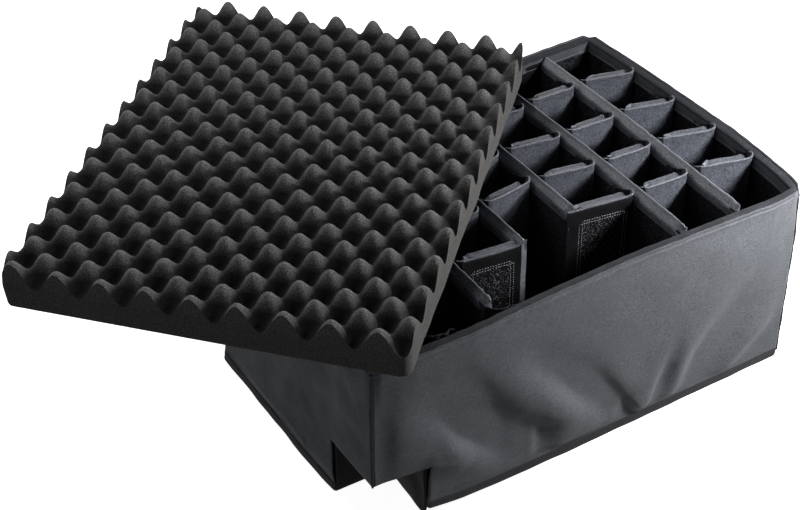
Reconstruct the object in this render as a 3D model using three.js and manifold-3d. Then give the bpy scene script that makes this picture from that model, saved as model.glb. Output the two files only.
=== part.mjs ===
// Padded divider tray of an outdoor hard case, with its egg-crate lid foam lying askew on top.
// Millimetres, +Z up. The origin is the middle of the tray's underside; X runs along the long walls.
import * as THREE from 'three';
import { mergeVertices } from 'three/addons/utils/BufferGeometryUtils.js';
import Module from 'manifold-3d';

const wasm = await Module();
wasm.setup();

// Driving sizes of the tray
const trayLength = 560;
const trayWidth = 398;
const trayHeight = 250;

// The right wall bellies outwards: shares of the tray's width in from either end of the wall, with
// the share of the belly that the rim reaches there. What leans with the wall does so in steps.
const rightWallBelly = 9;
const bellyShares = [[0, 0], [0.12, 0.5], [0.25, 0.85], [0.4, 1]];
const leanSteps = 5;

// Layers of a wall and of the floor, from outside to inside
const coverCloth = 1.2;
const wallBoard = 6.6;
const loopCloth = 1.4;
const floorBoard = 7;
const floorCloth = 1.2;
const seatGap = 0.3;

// Sewn edges
const rimThickness = 2.4;
const tapeHeight = 12;
const seamLeg = 2.5;

// Wheel wells cut out of the two corners at the left end
const wellLength = 67;
const wellHeight = 82;
const wellNearDepth = 84;
const wellFarDepth = 54;
const wellPanel = 5;
const wellClearance = 1.5;

// Dividers: a padded core with thin end flaps that turn back onto their neighbours
const bayCount = 7;
const dividerThickness = 10;
const dividerDrop = 2;
const flapCloth = 1.4;
const flapRun = 11;
const flapRise = 16;
const flapLength = 38;
const tightRun = 4;
const looseRun = 14;
const looseRise = 20;

// Faces round a quarter turn, and how far a cutting block runs past what it cuts
const turnSteps = 4;
const cutOverrun = 1.5;

// Where the short dividers stand in each bay, counted from the right wall: shares of the bay's
// depth from the back wall to each front face. The last bay's depth ends at the near wheel well.
// The skew of a divider is a share of its bay's width.
const bayRowShares = [
  [0.222, 0.426, 0.621, 0.801],
  [0.208, 0.416, 0.603, 0.779],
  [0.215, 0.406, 0.583, 0.767],
  [0.21, 0.41, 0.577],
  [0.205, 0.41, 0.6, 0.792],
  [0.2, 0.4, 0.6, 0.79],
  [0.343, 0.648, 0.953],
];
const baySkewShares = [-0.24, -0.04, -0.15, 0.1, -0.11, 0.03, 0];

// Long dividers that stop at the short divider closing a bay, by number from the right wall
const closedByLeftEnd = 3;
const closedByRightEnd = 4;
const loosePair = [5, 6];

// Lid foam: egg-crate crests in a checkerboard on a solid base
const foamLength = 560;
const foamWidth = 431;
const foamThickness = 55;
const foamBase = 24.5;
const crestPitch = 48.3;
const crestSideInset = 17;
const crestFrontInset = 3.6;
const foamCornerRadius = 12;
const foamTurnDegrees = -46.44;
const foamPlaceX = -540;
const foamPlaceY = 69.4;

// Places worked out from the sizes above
const halfLength = trayLength / 2;
const halfWidth = trayWidth / 2;
const boardInset = coverCloth + seatGap;
const liningInset = boardInset + wallBoard + seatGap;
const wallThickness = liningInset + loopCloth;
const padTop = boardInset + floorBoard;
const floorTop = padTop + seatGap + floorCloth;
const wallTop = trayHeight - rimThickness - seatGap;
const dividerTop = trayHeight - dividerDrop;
const wellOuter = boardInset + wellPanel;
const wellTop = wellHeight + wellPanel;
const innerBack = halfWidth - wallThickness;
const innerDepth = 2 * innerBack;

const finish = (color, roughness) => new THREE.MeshStandardMaterial({ color, roughness, metalness: 0 });
const nylonFinish = () => finish('#47484c', 0.55);
const loopFinish = () => finish('#17171a', 0.95);
const boardFinish = () => finish('#2b2b2e', 0.9);
const tapeFinish = () => finish('#1d1d1f', 0.8);
const foamFinish = () => finish('#333335', 0.97);

const insert = new THREE.Group();

function addPart(name, geometry, material) {
  const mesh = new THREE.Mesh(geometry, material);
  mesh.name = name;
  insert.add(mesh);
  return mesh;
}

// Solids

function slab(outline, low, high, holeOutline, steps = 1) {
  const shape = new THREE.Shape(outline.map(([x, y]) => new THREE.Vector2(x, y)));
  if (holeOutline) {
    shape.holes.push(new THREE.Path(holeOutline.map(([x, y]) => new THREE.Vector2(x, y))));
  }
  const geometry = new THREE.ExtrudeGeometry(shape, { depth: high - low, steps, bevelEnabled: false });
  return geometry.translate(0, 0, low);
}

function rectangle(lowX, highX, lowY, highY) {
  return [[lowX, lowY], [highX, lowY], [highX, highY], [lowX, highY]];
}

function box(lowX, highX, lowY, highY, low, high) {
  return slab(rectangle(lowX, highX, lowY, highY), low, high);
}

function solidOf(geometry) {
  const bare = geometry.clone();
  bare.deleteAttribute('normal');
  bare.deleteAttribute('uv');
  const welded = mergeVertices(bare);
  return new wasm.Manifold(new wasm.Mesh({
    numProp: 3,
    vertProperties: new Float32Array(welded.attributes.position.array),
    triVerts: new Uint32Array(welded.index.array),
  }));
}

function geometryOf(solid) {
  const mesh = solid.getMesh();
  const geometry = new THREE.BufferGeometry();
  geometry.setAttribute('position', new THREE.BufferAttribute(new Float32Array(mesh.vertProperties), 3));
  geometry.setIndex(new THREE.BufferAttribute(new Uint32Array(mesh.triVerts), 1));
  geometry.computeVertexNormals();
  return geometry;
}

function cut(geometry, ...cutters) {
  let solid = solidOf(geometry);
  for (const cutter of cutters) {
    solid = solid.subtract(solidOf(cutter));
  }
  return geometryOf(solid);
}

// How far the right wall leans out: upright facets near its ends, a sloping one between them, and
// nothing at the bound edge
function bellyAt(y) {
  const endShare = Math.max(0, (halfWidth - Math.abs(y)) / trayWidth);
  for (let i = 1; i < bellyShares.length; i += 1) {
    const [fromShare, lowShare] = bellyShares[i - 1];
    const [toShare, highShare] = bellyShares[i];
    if (endShare <= toShare) {
      const along = (endShare - fromShare) / (toShare - fromShare);
      return rightWallBelly * (lowShare + (highShare - lowShare) * along);
    }
  }
  return rightWallBelly;
}

function leanAt(y, z) {
  const upShare = Math.min(1, Math.max(0, (z - tapeHeight) / (wallTop - tapeHeight)));
  return Math.min(bellyAt(y), rightWallBelly * upShare);
}

// The right wall's line in plan from y = -reach to y = reach
function bellyLine(inset, reach) {
  const stations = bellyShares.map(([endShare]) => halfWidth - endShare * trayWidth);
  const inside = stations.filter((y) => y < reach);
  const places = [-reach, ...inside.map((y) => -y), ...inside.reverse(), reach];
  return places.map((y) => [halfLength - inset + bellyAt(y), y]);
}

// Everything inside the right wall's surface at one inset
function leaningBlock(inset, reach, low, high) {
  const left = halfLength - wallThickness - wallBoard;
  const right = halfLength - inset;
  const plan = slab([[left, reach], [left, -reach], ...bellyLine(inset, reach)], low, high);
  const slope = slab(
    [
      [left, 0], [right, 0], [right, tapeHeight], [right + rightWallBelly, wallTop],
      [right + rightWallBelly, trayHeight], [left, trayHeight],
    ],
    -halfWidth,
    halfWidth,
  );
  return solidOf(plan).intersect(solidOf(slope.rotateX(Math.PI / 2)));
}

// A slab whose points lean with the right wall, each by its share of the way across
function leaningSlab(outline, low, high, shareAcross) {
  const geometry = slab(outline, low, high, null, leanSteps);
  const place = geometry.attributes.position;
  for (let i = 0; i < place.count; i += 1) {
    const x = place.getX(i);
    place.setX(i, x + leanAt(place.getY(i), place.getZ(i)) * shareAcross(x));
  }
  geometry.computeVertexNormals();
  return geometry;
}

// The tray's outline with the two wheel wells cut out of its left corners
function footprint(edgeInset, wellInset) {
  const wellX = -halfLength + wellLength + wellInset;
  const nearY = -halfWidth + wellNearDepth + wellInset;
  const farY = halfWidth - wellFarDepth - wellInset;
  const left = -halfLength + edgeInset;
  const right = halfLength - edgeInset;
  const front = -halfWidth + edgeInset;
  const back = halfWidth - edgeInset;
  return [
    [wellX, front], [right, front], [right, back], [wellX, back],
    [wellX, farY], [left, farY], [left, nearY], [wellX, nearY],
  ];
}

// Floor: underside cloth, board, loop cloth, and the bound edge round them
const baseOutline = footprint(boardInset, boardInset);
addPart('base_cover', slab(baseOutline, 0, coverCloth), nylonFinish());
addPart('floor_board', slab(baseOutline, boardInset, padTop), boardFinish());
addPart(
  'floor_lining',
  slab(footprint(wallThickness + seatGap, wellOuter + seatGap), padTop + seatGap, floorTop),
  loopFinish(),
);
addPart(
  'base_binding',
  slab(footprint(0, 0), 0, tapeHeight, footprint(coverCloth, coverCloth)),
  tapeFinish(),
);

// Wheel wells: a padded box corner over each cut-out
function wellBlock(depth, atBack, inset, low, high) {
  const highX = -halfLength + wellLength + inset;
  const lowX = -halfLength - cutOverrun;
  const edgeY = -halfWidth + depth + inset;
  if (atBack) {
    return box(lowX, highX, -edgeY, halfWidth + cutOverrun, low, high);
  }
  return box(lowX, highX, -halfWidth - cutOverrun, edgeY, low, high);
}

function wheelWell(name, depth, atBack) {
  const highX = -halfLength + wellLength + wellOuter;
  const edgeY = -halfWidth + depth + wellOuter;
  const lowX = -halfLength + boardInset;
  const padding = atBack
    ? box(lowX, highX, -edgeY, halfWidth - boardInset, padTop + seatGap, wellTop)
    : box(lowX, highX, -halfWidth + boardInset, edgeY, padTop + seatGap, wellTop);
  addPart(name, cut(padding, wellBlock(depth, atBack, boardInset, 0, wellHeight)), nylonFinish());
}

wheelWell('wheel_well_near', wellNearDepth, false);
wheelWell('wheel_well_far', wellFarDepth, true);

// What the boards and linings leave free for the wells, and the covers for the cut-outs
const wellRooms = [
  wellBlock(wellNearDepth, false, wellOuter + seatGap, 0, wellTop + seatGap),
  wellBlock(wellFarDepth, true, wellOuter + seatGap, 0, wellTop + seatGap),
];
const wellMouths = [
  wellBlock(wellNearDepth, false, 0, 0, wellHeight),
  wellBlock(wellFarDepth, true, 0, 0, wellHeight),
];

// One layer of the four walls. The front and back pieces reach endInset from the tray's ends, and
// the left and right pieces fill the width that sideInset leaves.
function wallLayer(suffix, inset, thickness, endInset, sideInset, low, cutters, material) {
  const near = -halfWidth + inset;
  const far = halfWidth - inset;
  const endX = halfLength - endInset;
  const sideY = halfWidth - sideInset;
  const left = -halfLength + inset;
  addPart(
    'front_' + suffix,
    cut(box(-endX, endX, near, near + thickness, low, wallTop), cutters[0]),
    material(),
  );
  addPart(
    'back_' + suffix,
    cut(box(-endX, endX, far - thickness, far, low, wallTop), cutters[1]),
    material(),
  );
  addPart(
    'left_' + suffix,
    cut(box(left, left + thickness, -sideY, sideY, low, wallTop), ...cutters),
    material(),
  );
  const outside = leaningBlock(inset, sideY, low, wallTop);
  const inside = leaningBlock(
    inset + thickness, sideY + cutOverrun, low - cutOverrun, wallTop + cutOverrun,
  );
  addPart('right_' + suffix, geometryOf(outside.subtract(inside)), material());
}

const seamEnd = seamLeg + seatGap;
wallLayer(
  'board', boardInset, wallBoard, boardInset, liningInset, padTop + seatGap, wellRooms, boardFinish,
);
wallLayer(
  'cover', 0, coverCloth, seamEnd, seamEnd, tapeHeight + seatGap, wellMouths, nylonFinish,
);
wallLayer(
  'lining', liningInset, loopCloth, liningInset, wallThickness + seatGap, padTop + seatGap,
  wellRooms, loopFinish,
);

// Corner seams: a folded strip up each corner of the cover
function cornerSeam(name, signX, signY, low) {
  const outline = [
    [0, 0], [seamLeg, 0], [seamLeg, coverCloth], [coverCloth, coverCloth], [coverCloth, seamLeg],
    [0, seamLeg],
  ].map(([inX, inY]) => [signX * (halfLength - inX), signY * (halfWidth - inY)]);
  if (signX * signY < 0) {
    outline.reverse();
  }
  addPart(name, slab(outline, low, wallTop), tapeFinish());
}

cornerSeam('corner_seam_front_left', -1, -1, wellHeight);
cornerSeam('corner_seam_front_right', 1, -1, tapeHeight + seatGap);
cornerSeam('corner_seam_back_right', 1, 1, tapeHeight + seatGap);
cornerSeam('corner_seam_back_left', -1, 1, wellHeight);

// Rim: the cloth turned over the top of all four walls
function rimOutline(inset) {
  const left = -halfLength + inset;
  const side = halfWidth - inset;
  return [[left, side], [left, -side], ...bellyLine(inset, side)];
}

addPart(
  'rim_binding',
  slab(rimOutline(0), wallTop + seatGap, trayHeight, rimOutline(wallThickness)),
  nylonFinish(),
);

// A flap of cover cloth that leaves the corner of a core, bends round and lies along a wall.
// towards is the direction from the core's end to the wall, along is the way the flap bends.
// The points run out along the outer side of the cloth and come back along its inner side.
function flapPoints(corner, towards, along, run, rise) {
  const at = (t, s) => [
    corner[0] + towards[0] * t + along[0] * s,
    corner[1] + towards[1] * t + along[1] * s,
  ];
  const outer = [];
  const inner = [];
  for (let i = 1; i <= turnSteps; i += 1) {
    const turn = (Math.PI / 2) * (i / turnSteps);
    const sine = Math.sin(turn);
    const rest = 1 - Math.cos(turn);
    outer.push(at(run * sine, rise * rest));
    inner.push(at((run - flapCloth) * sine, flapCloth + (rise - flapCloth) * rest));
  }
  const tip = [at(run, flapLength), at(run - flapCloth, flapLength)];
  return [...outer, ...tip, ...inner.reverse(), at(0, flapCloth)];
}

// Long dividers run from front to back. The last one stands clear of the wheel wells and turns its
// far flap away from the one beside it, and the others share out the rest of the length evenly.
const halfDivider = dividerThickness / 2;
const wellBay = wellLength + wellOuter + wellClearance + halfDivider;
const bayWidth = (trayLength - wellBay) / (bayCount - 1);
const dividerLow = floorTop + seatGap;

const longDividerX = (number) => halfLength - bayWidth * number;
const bayDepth = (bay) => (bay === bayCount ? innerBack + halfWidth - wellNearDepth - wellOuter : innerDepth);
const bayRight = (bay) => (bay === 1 ? halfLength - wallThickness : longDividerX(bay - 1) - halfDivider);
const bayLeft = (bay) => (bay === bayCount ? -halfLength + wallThickness : longDividerX(bay) + halfDivider);
const rowY = (bay, row) => innerBack - bayDepth(bay) * bayRowShares[bay - 1][row - 1];
const skewOf = (bay) => (bayRight(bay) - bayLeft(bay)) * baySkewShares[bay - 1];

function longDivider(number) {
  const x = longDividerX(number);
  const farEnd = innerBack - seatGap - tightRun;
  const turnsToRight = number === bayCount - 1;
  const farFlap = turnsToRight
    ? flapPoints([x - halfDivider, farEnd], [0, 1], [1, 0], tightRun, flapRise).reverse()
    : flapPoints([x + halfDivider, farEnd], [0, 1], [-1, 0], tightRun, flapRise);
  let nearPoints;
  if (number === closedByLeftEnd || number === closedByRightEnd) {
    const closedBay = number === closedByLeftEnd ? number : number + 1;
    const side = number === closedByLeftEnd ? -1 : 1;
    const lastRow = bayRowShares[closedBay - 1].length;
    const ridgeY = rowY(closedBay, lastRow) + (side * skewOf(closedBay)) / 2;
    const nearEnd = ridgeY + flapCloth + seatGap;
    nearPoints = [[x - halfDivider, nearEnd], [x + halfDivider, nearEnd]];
  } else {
    const run = loosePair.includes(number) ? looseRun : tightRun;
    const rise = loosePair.includes(number) ? looseRise : flapRise;
    const nearEnd = -innerBack + seatGap + run;
    nearPoints = [
      [x - halfDivider, nearEnd],
      ...flapPoints([x - halfDivider, nearEnd], [0, -1], [1, 0], run, rise),
      [x + halfDivider, nearEnd],
    ];
  }
  const outline = [...nearPoints, [x + halfDivider, farEnd], ...farFlap, [x - halfDivider, farEnd]];
  addPart('long_divider_' + number, slab(outline, dividerLow, dividerTop), nylonFinish());
}

for (let number = 1; number < bayCount; number += 1) {
  longDivider(number);
}

// Short dividers close a bay from one neighbour to the next, pushed up to the right one. An end
// either curls back onto its neighbour or, where it closes off a long divider, lies flat across it.
function shortDivider(bay, row) {
  const left = bayLeft(bay) + seatGap;
  const right = bayRight(bay) - seatGap;
  const lastRow = row === bayRowShares[bay - 1].length;
  const leftFlat = lastRow && bay === closedByLeftEnd;
  const rightFlat = lastRow && bay === closedByRightEnd + 1;
  const y = rowY(bay, row);
  const skew = skewOf(bay);
  const start = [leftFlat ? left : left + flapRun, y - skew / 2];
  const end = [rightFlat ? right : right - tightRun, y + skew / 2];
  const slope = Math.hypot(end[0] - start[0], end[1] - start[1]) / (end[0] - start[0]);
  const behind = (point) => [point[0], point[1] + dividerThickness * slope];
  const flatEnd = (point, side) => [
    [point[0] + side * (seatGap + dividerThickness), point[1]],
    [point[0] + side * (seatGap + dividerThickness), point[1] + flapCloth],
    [point[0], point[1] + flapCloth],
  ];
  const rightPoints = rightFlat
    ? flatEnd(end, 1)
    : flapPoints(end, [1, 0], [0, 1], tightRun, flapRise);
  const leftPoints = leftFlat
    ? flatEnd(start, -1)
    : flapPoints(start, [-1, 0], [0, 1], flapRun, flapRise);
  const outline = [start, end, ...rightPoints, behind(end), behind(start), ...leftPoints.reverse()];
  const shareAcross = (x) => Math.min(1, Math.max(0, (x - left) / (right - left)));
  const geometry = bay === 1
    ? leaningSlab(outline, dividerLow, dividerTop, shareAcross)
    : slab(outline, dividerLow, dividerTop);
  addPart('short_divider_' + bay + '_' + row, geometry, nylonFinish());
}

for (let bay = 1; bay <= bayCount; bay += 1) {
  for (let row = 1; row <= bayRowShares[bay - 1].length; row += 1) {
    shortDivider(bay, row);
  }
}

// Lid foam: a slab whose top waves between crests and hollows, cut through the outer crests.
// Crests and hollows take turns at the corners of a square grid. Each square is four faces that
// meet at its middle, half-way up the wave.
function crateSlab(lowX, highX, lowY, highY, square, middle, swing) {
  const fromX = Math.floor(lowX / square);
  const fromY = Math.floor(lowY / square);
  const countX = Math.ceil(highX / square) - fromX;
  const countY = Math.ceil(highY / square) - fromY;
  const places = [];
  const faces = [];
  for (let j = 0; j <= countY; j += 1) {
    for (let i = 0; i <= countX; i += 1) {
      const isCrest = (fromX + i + fromY + j) % 2 === 0;
      places.push((fromX + i) * square, (fromY + j) * square, middle + (isCrest ? swing : -swing));
    }
  }
  const rowLength = countX + 1;
  const under = places.length / 3;
  for (let j = 0; j <= countY; j += 1) {
    for (let i = 0; i <= countX; i += 1) {
      places.push((fromX + i) * square, (fromY + j) * square, -cutOverrun);
    }
  }
  const quad = (a, b, c, d) => faces.push(a, b, c, a, c, d);
  for (let j = 0; j < countY; j += 1) {
    for (let i = 0; i < countX; i += 1) {
      const ring = [j * rowLength + i];
      ring.push(ring[0] + 1, ring[0] + 1 + rowLength, ring[0] + rowLength);
      const heart = places.length / 3;
      places.push((fromX + i + 1 / 2) * square, (fromY + j + 1 / 2) * square, middle);
      ring.forEach((corner, k) => faces.push(corner, ring[(k + 1) % 4], heart));
      quad(under + ring[0], under + ring[3], under + ring[2], under + ring[1]);
    }
  }
  const last = rowLength * countY;
  for (let i = 0; i < countX; i += 1) {
    quad(under + i, under + i + 1, i + 1, i);
    quad(under + last + i + 1, under + last + i, last + i, last + i + 1);
  }
  for (let j = 0; j < countY; j += 1) {
    const at = j * rowLength;
    const end = at + countX;
    quad(under + at + rowLength, under + at, at, at + rowLength);
    quad(under + end, under + end + rowLength, end + rowLength, end);
  }
  const geometry = new THREE.BufferGeometry();
  geometry.setAttribute('position', new THREE.BufferAttribute(new Float32Array(places), 3));
  geometry.setIndex(faces);
  return geometry;
}

function roundedOutline(lowX, highX, lowY, highY, radius) {
  const shape = new THREE.Shape();
  shape.moveTo(lowX + radius, lowY);
  shape.lineTo(highX - radius, lowY);
  shape.absarc(highX - radius, lowY + radius, radius, -Math.PI / 2, 0);
  shape.lineTo(highX, highY - radius);
  shape.absarc(highX - radius, highY - radius, radius, 0, Math.PI / 2);
  shape.lineTo(lowX + radius, highY);
  shape.absarc(lowX + radius, highY - radius, radius, Math.PI / 2, Math.PI);
  shape.lineTo(lowX, lowY + radius);
  shape.absarc(lowX + radius, lowY + radius, radius, Math.PI, (3 * Math.PI) / 2);
  return shape.getPoints(turnSteps).map((point) => [point.x, point.y]);
}

function lidFoam() {
  const lowX = -crestSideInset;
  const highX = lowX + foamWidth;
  const lowY = -crestFrontInset;
  const highY = lowY + foamLength;
  const swing = (foamThickness - foamBase) / 2;
  const crate = crateSlab(lowX, highX, lowY, highY, crestPitch / 2, foamBase + swing, swing);
  const trim = slab(
    roundedOutline(lowX, highX, lowY, highY, foamCornerRadius),
    0,
    foamThickness + cutOverrun,
  );
  const mesh = addPart(
    'lid_foam',
    geometryOf(solidOf(crate).intersect(solidOf(trim))),
    foamFinish(),
  );
  mesh.rotation.z = THREE.MathUtils.degToRad(foamTurnDegrees);
  mesh.position.set(foamPlaceX, foamPlaceY, trayHeight + seatGap);
}

lidFoam();

export default insert;
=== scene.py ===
"""Padded divider tray of an outdoor hard case, with its egg-crate lid foam lying askew on top."""

import math

import bpy
import numpy as np
from mathutils import Matrix, Vector


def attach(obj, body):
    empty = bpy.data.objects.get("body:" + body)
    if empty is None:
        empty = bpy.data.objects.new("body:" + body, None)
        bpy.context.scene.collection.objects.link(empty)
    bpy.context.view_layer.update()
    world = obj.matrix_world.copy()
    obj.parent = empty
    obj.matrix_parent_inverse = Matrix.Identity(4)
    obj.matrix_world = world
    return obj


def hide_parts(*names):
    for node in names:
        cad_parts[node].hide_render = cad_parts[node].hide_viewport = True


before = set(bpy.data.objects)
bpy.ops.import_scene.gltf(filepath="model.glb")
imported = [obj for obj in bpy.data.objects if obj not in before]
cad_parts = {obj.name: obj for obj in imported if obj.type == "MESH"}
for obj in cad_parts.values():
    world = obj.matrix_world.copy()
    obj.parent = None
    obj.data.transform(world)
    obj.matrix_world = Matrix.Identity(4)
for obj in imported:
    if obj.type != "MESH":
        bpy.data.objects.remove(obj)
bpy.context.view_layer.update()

# ---------------------------------------------------------------- sizes, in millimetres

MM = 0.001

TRAY_LENGTH, TRAY_WIDTH, TRAY_HEIGHT = 560.0, 398.0, 250.0
HALF_LENGTH, HALF_WIDTH = TRAY_LENGTH / 2, TRAY_WIDTH / 2
COVER_CLOTH, WALL_BOARD, LOOP_CLOTH, SEAT_GAP = 1.2, 6.6, 1.4, 0.3
FLOOR_BOARD, FLOOR_CLOTH = 7.0, 1.2
TAPE_HEIGHT = 12.0

BOARD_INSET = COVER_CLOTH + SEAT_GAP
LINING_INSET = BOARD_INSET + WALL_BOARD + SEAT_GAP
WALL_THICKNESS = LINING_INSET + LOOP_CLOTH
PAD_TOP = BOARD_INSET + FLOOR_BOARD
FLOOR_TOP = PAD_TOP + SEAT_GAP + FLOOR_CLOTH
HEM_DROP = 18.0
LINING_TOP = TRAY_HEIGHT - HEM_DROP

WELL_LENGTH, WELL_HEIGHT, WELL_PANEL = 67.0, 82.0, 5.0
WELL_NEAR_DEPTH, WELL_FAR_DEPTH = 84.0, 54.0
WELL_OUTER = BOARD_INSET + WELL_PANEL
WELL_TOP = WELL_HEIGHT + WELL_PANEL

BAY_COUNT = 7
DIVIDER_THICKNESS = 10.0
DIVIDER_LOW = FLOOR_TOP + SEAT_GAP
DIVIDER_TOP = TRAY_HEIGHT - 2.0

# A flap leaves its divider's corner, bends round by a run and a rise, and follows its neighbour
FLAP_CLOTH, FLAP_RUN, FLAP_RISE, FLAP_LENGTH = 1.4, 11.0, 16.0, 38.0
TIGHT_RUN, LOOSE_RUN, LOOSE_RISE = 4.0, 14.0, 20.0

# Where the short dividers of each bay stand, as shares of its depth from the back wall, and how far
# they run askew, as a share of its width
BAY_ROW_SHARES = [
    [0.222, 0.426, 0.621, 0.801],
    [0.208, 0.416, 0.603, 0.779],
    [0.215, 0.406, 0.583, 0.767],
    [0.21, 0.41, 0.577],
    [0.205, 0.41, 0.6, 0.792],
    [0.2, 0.4, 0.6, 0.79],
    [0.343, 0.648, 0.953],
]
BAY_SKEW_SHARES = [-0.24, -0.04, -0.15, 0.1, -0.11, 0.03, 0.0]

# The long dividers that a short one closes with its left or right end, and those with loose near flaps
CLOSED_BY_LEFT_END, CLOSED_BY_RIGHT_END = 3, 4
LOOSE_PAIR = (5, 6)
FIXED_LONGS = (2, 3, 4, 5, 6)

FOAM_LENGTH, FOAM_WIDTH, FOAM_THICKNESS, FOAM_BASE = 560.0, 431.0, 55.0, 24.5
CREST_PITCH, CREST_SIDE_INSET, CREST_FRONT_INSET = 48.3, 17.0, 3.6
FOAM_CORNER_RADIUS, FOAM_ASKEW, FOAM_TURN = 12.0, 7.0, math.radians(-46.44)
FOAM_PLACE = (-540.0, 69.4, TRAY_HEIGHT + SEAT_GAP)

STITCH_SIZES = {"Pitch": 3.2 * MM, "Stitch length": 2.2 * MM, "Thread": 0.9 * MM}

# ---------------------------------------------------------------- camera, at the photograph's angle

CAMERA_PLACE = (-0.84397, -1.23524, 1.33367)
CAMERA_AZIMUTH, CAMERA_ELEVATION, CAMERA_ROLL = -30.102, 34.541, -1.079
CAMERA_LENS, CAMERA_SHIFT = 73.0, (0.00434, -0.14704)


def linked(name, data):
    """A new object in the scene."""
    made = bpy.data.objects.new(name, data)
    bpy.context.scene.collection.objects.link(made)
    return made


def place_camera():
    azimuth, elevation, roll = map(math.radians, (CAMERA_AZIMUTH, CAMERA_ELEVATION, CAMERA_ROLL))
    level_part = math.cos(elevation)
    back = Vector((math.sin(azimuth) * level_part, -math.cos(azimuth) * level_part, math.sin(elevation)))
    level = Vector((0, 0, 1)).cross(back).normalized()
    right = math.cos(roll) * level + math.sin(roll) * back.cross(level)
    data = bpy.data.cameras.new("studio_camera")
    data.lens = CAMERA_LENS
    data.sensor_width = 36.0
    data.shift_x, data.shift_y = CAMERA_SHIFT
    data.clip_start, data.clip_end = 0.05, 50.0
    camera = linked("studio_camera", data)
    turn = Matrix((right, back.cross(right), back)).transposed().to_4x4()
    camera.matrix_world = Matrix.Translation(CAMERA_PLACE) @ turn
    bpy.context.scene.camera = camera


place_camera()

# ---------------------------------------------------------------- materials


def linear(hex_colour):
    """An sRGB hex colour as Blender's linear RGBA."""
    parts = [int(hex_colour[i : i + 2], 16) / 255 for i in (1, 3, 5)]
    return tuple(c / 12.92 if c <= 0.04045 else ((c + 0.055) / 1.055) ** 2.4 for c in parts) + (1.0,)


def add(tree, kind, inputs=None, stops=(), **settings):
    """A node with its settings, and its inputs, by name or number, set or linked. A node given as an
    input stands for its first output in use. stops are a colour ramp's (place, hex colour) stops."""
    node = tree.nodes.new(kind)
    for key, value in settings.items():
        setattr(node, key, value)
    for index, (place, colour) in enumerate(stops):
        elements = node.color_ramp.elements
        element = elements[index] if index < 2 else elements.new(place)
        element.position, element.color = place, linear(colour)
    for key, value in (inputs or {}).items():
        named = [socket for socket in node.inputs if socket.enabled and socket.name == key]
        socket = named[0] if named else node.inputs[key]
        if isinstance(value, bpy.types.Node):
            value = next(output for output in value.outputs if output.enabled)
        if isinstance(value, bpy.types.NodeSocket):
            tree.links.new(value, socket)
        else:
            socket.default_value = value
    return node


def blank_material(name):
    """A material without nodes, with its tree and the piece's own place in metres."""
    made = bpy.data.materials.new(name)
    made.use_nodes = True
    tree = made.node_tree
    tree.nodes.clear()
    return made, tree, add(tree, "ShaderNodeTexCoord").outputs["Object"]


def weave_height(tree, pitch_mm):
    """A plain weave's rise and fall, from the piece's own map, which is in metres."""
    place = add(tree, "ShaderNodeUVMap", uv_map="cloth")
    turn_rate = 2 * math.pi / (pitch_mm * MM)
    turns = add(tree, "ShaderNodeVectorMath", {0: place, "Scale": turn_rate}, operation="SCALE")
    waves = add(tree, "ShaderNodeVectorMath", {0: turns}, operation="SINE")
    split = add(tree, "ShaderNodeSeparateXYZ", {"Vector": waves})
    return add(tree, "ShaderNodeMath", {0: split.outputs["X"], 1: split.outputs["Y"]}, operation="MULTIPLY")


def coated_nylon(name, dark, light, rough, weave_mm, specular, fleck_mm=2.2, even=0.0):
    """Nylon oxford, woven and coated: a fine plain weave under a thin film with a soft sheen, mottled
    by the flecks of its coating, the more evenly the higher even is. The weave is about 0.5 mm in fact,
    and is drawn coarser so that it shows."""
    made, tree, place = blank_material(name)
    dark, light = linear(dark), linear(light)
    patches = add(
        tree, "ShaderNodeTexNoise", {"Vector": place, "Scale": 1 / (30 * MM), "Detail": 4, "Roughness": 0.65}
    )
    fibres = add(
        tree,
        "ShaderNodeTexNoise",
        {"Vector": place, "Scale": 1 / (fleck_mm * MM), "Detail": 2, "Roughness": 0.6},
    )
    flecks = add(tree, "ShaderNodeMapRange", {"Value": fibres, "From Min": 0.38, "From Max": 0.68})
    blotches = add(
        tree, "ShaderNodeMapRange", {"Value": patches, "From Min": 0.4 - even, "From Max": 0.62 - even}
    )
    tone = add(tree, "ShaderNodeMix", {"Factor": flecks, "A": dark, "B": light}, data_type="RGBA")
    tone = add(tree, "ShaderNodeMix", {"Factor": blotches, "A": dark, "B": tone}, data_type="RGBA")
    roughness = add(
        tree,
        "ShaderNodeMapRange",
        {"Value": patches, "From Min": 0.3, "From Max": 0.7, "To Min": rough[0], "To Max": rough[1]},
    )
    threads = weave_height(tree, weave_mm)
    weave = add(tree, "ShaderNodeBump", {"Height": threads, "Distance": 0.12 * MM, "Strength": 0.35})
    normal = add(
        tree, "ShaderNodeBump", {"Height": fibres, "Distance": 0.25 * MM, "Strength": 0.3, "Normal": weave}
    )
    cloth = add(
        tree,
        "ShaderNodeBsdfPrincipled",
        {
            "Base Color": tone,
            "Roughness": roughness,
            "IOR": 1.5,
            "Specular IOR Level": specular,
            "Sheen Weight": 0.03,
            "Sheen Roughness": 0.5,
            "Normal": normal,
        },
    )
    add(tree, "ShaderNodeOutputMaterial", {"Surface": cloth})
    return made


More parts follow.
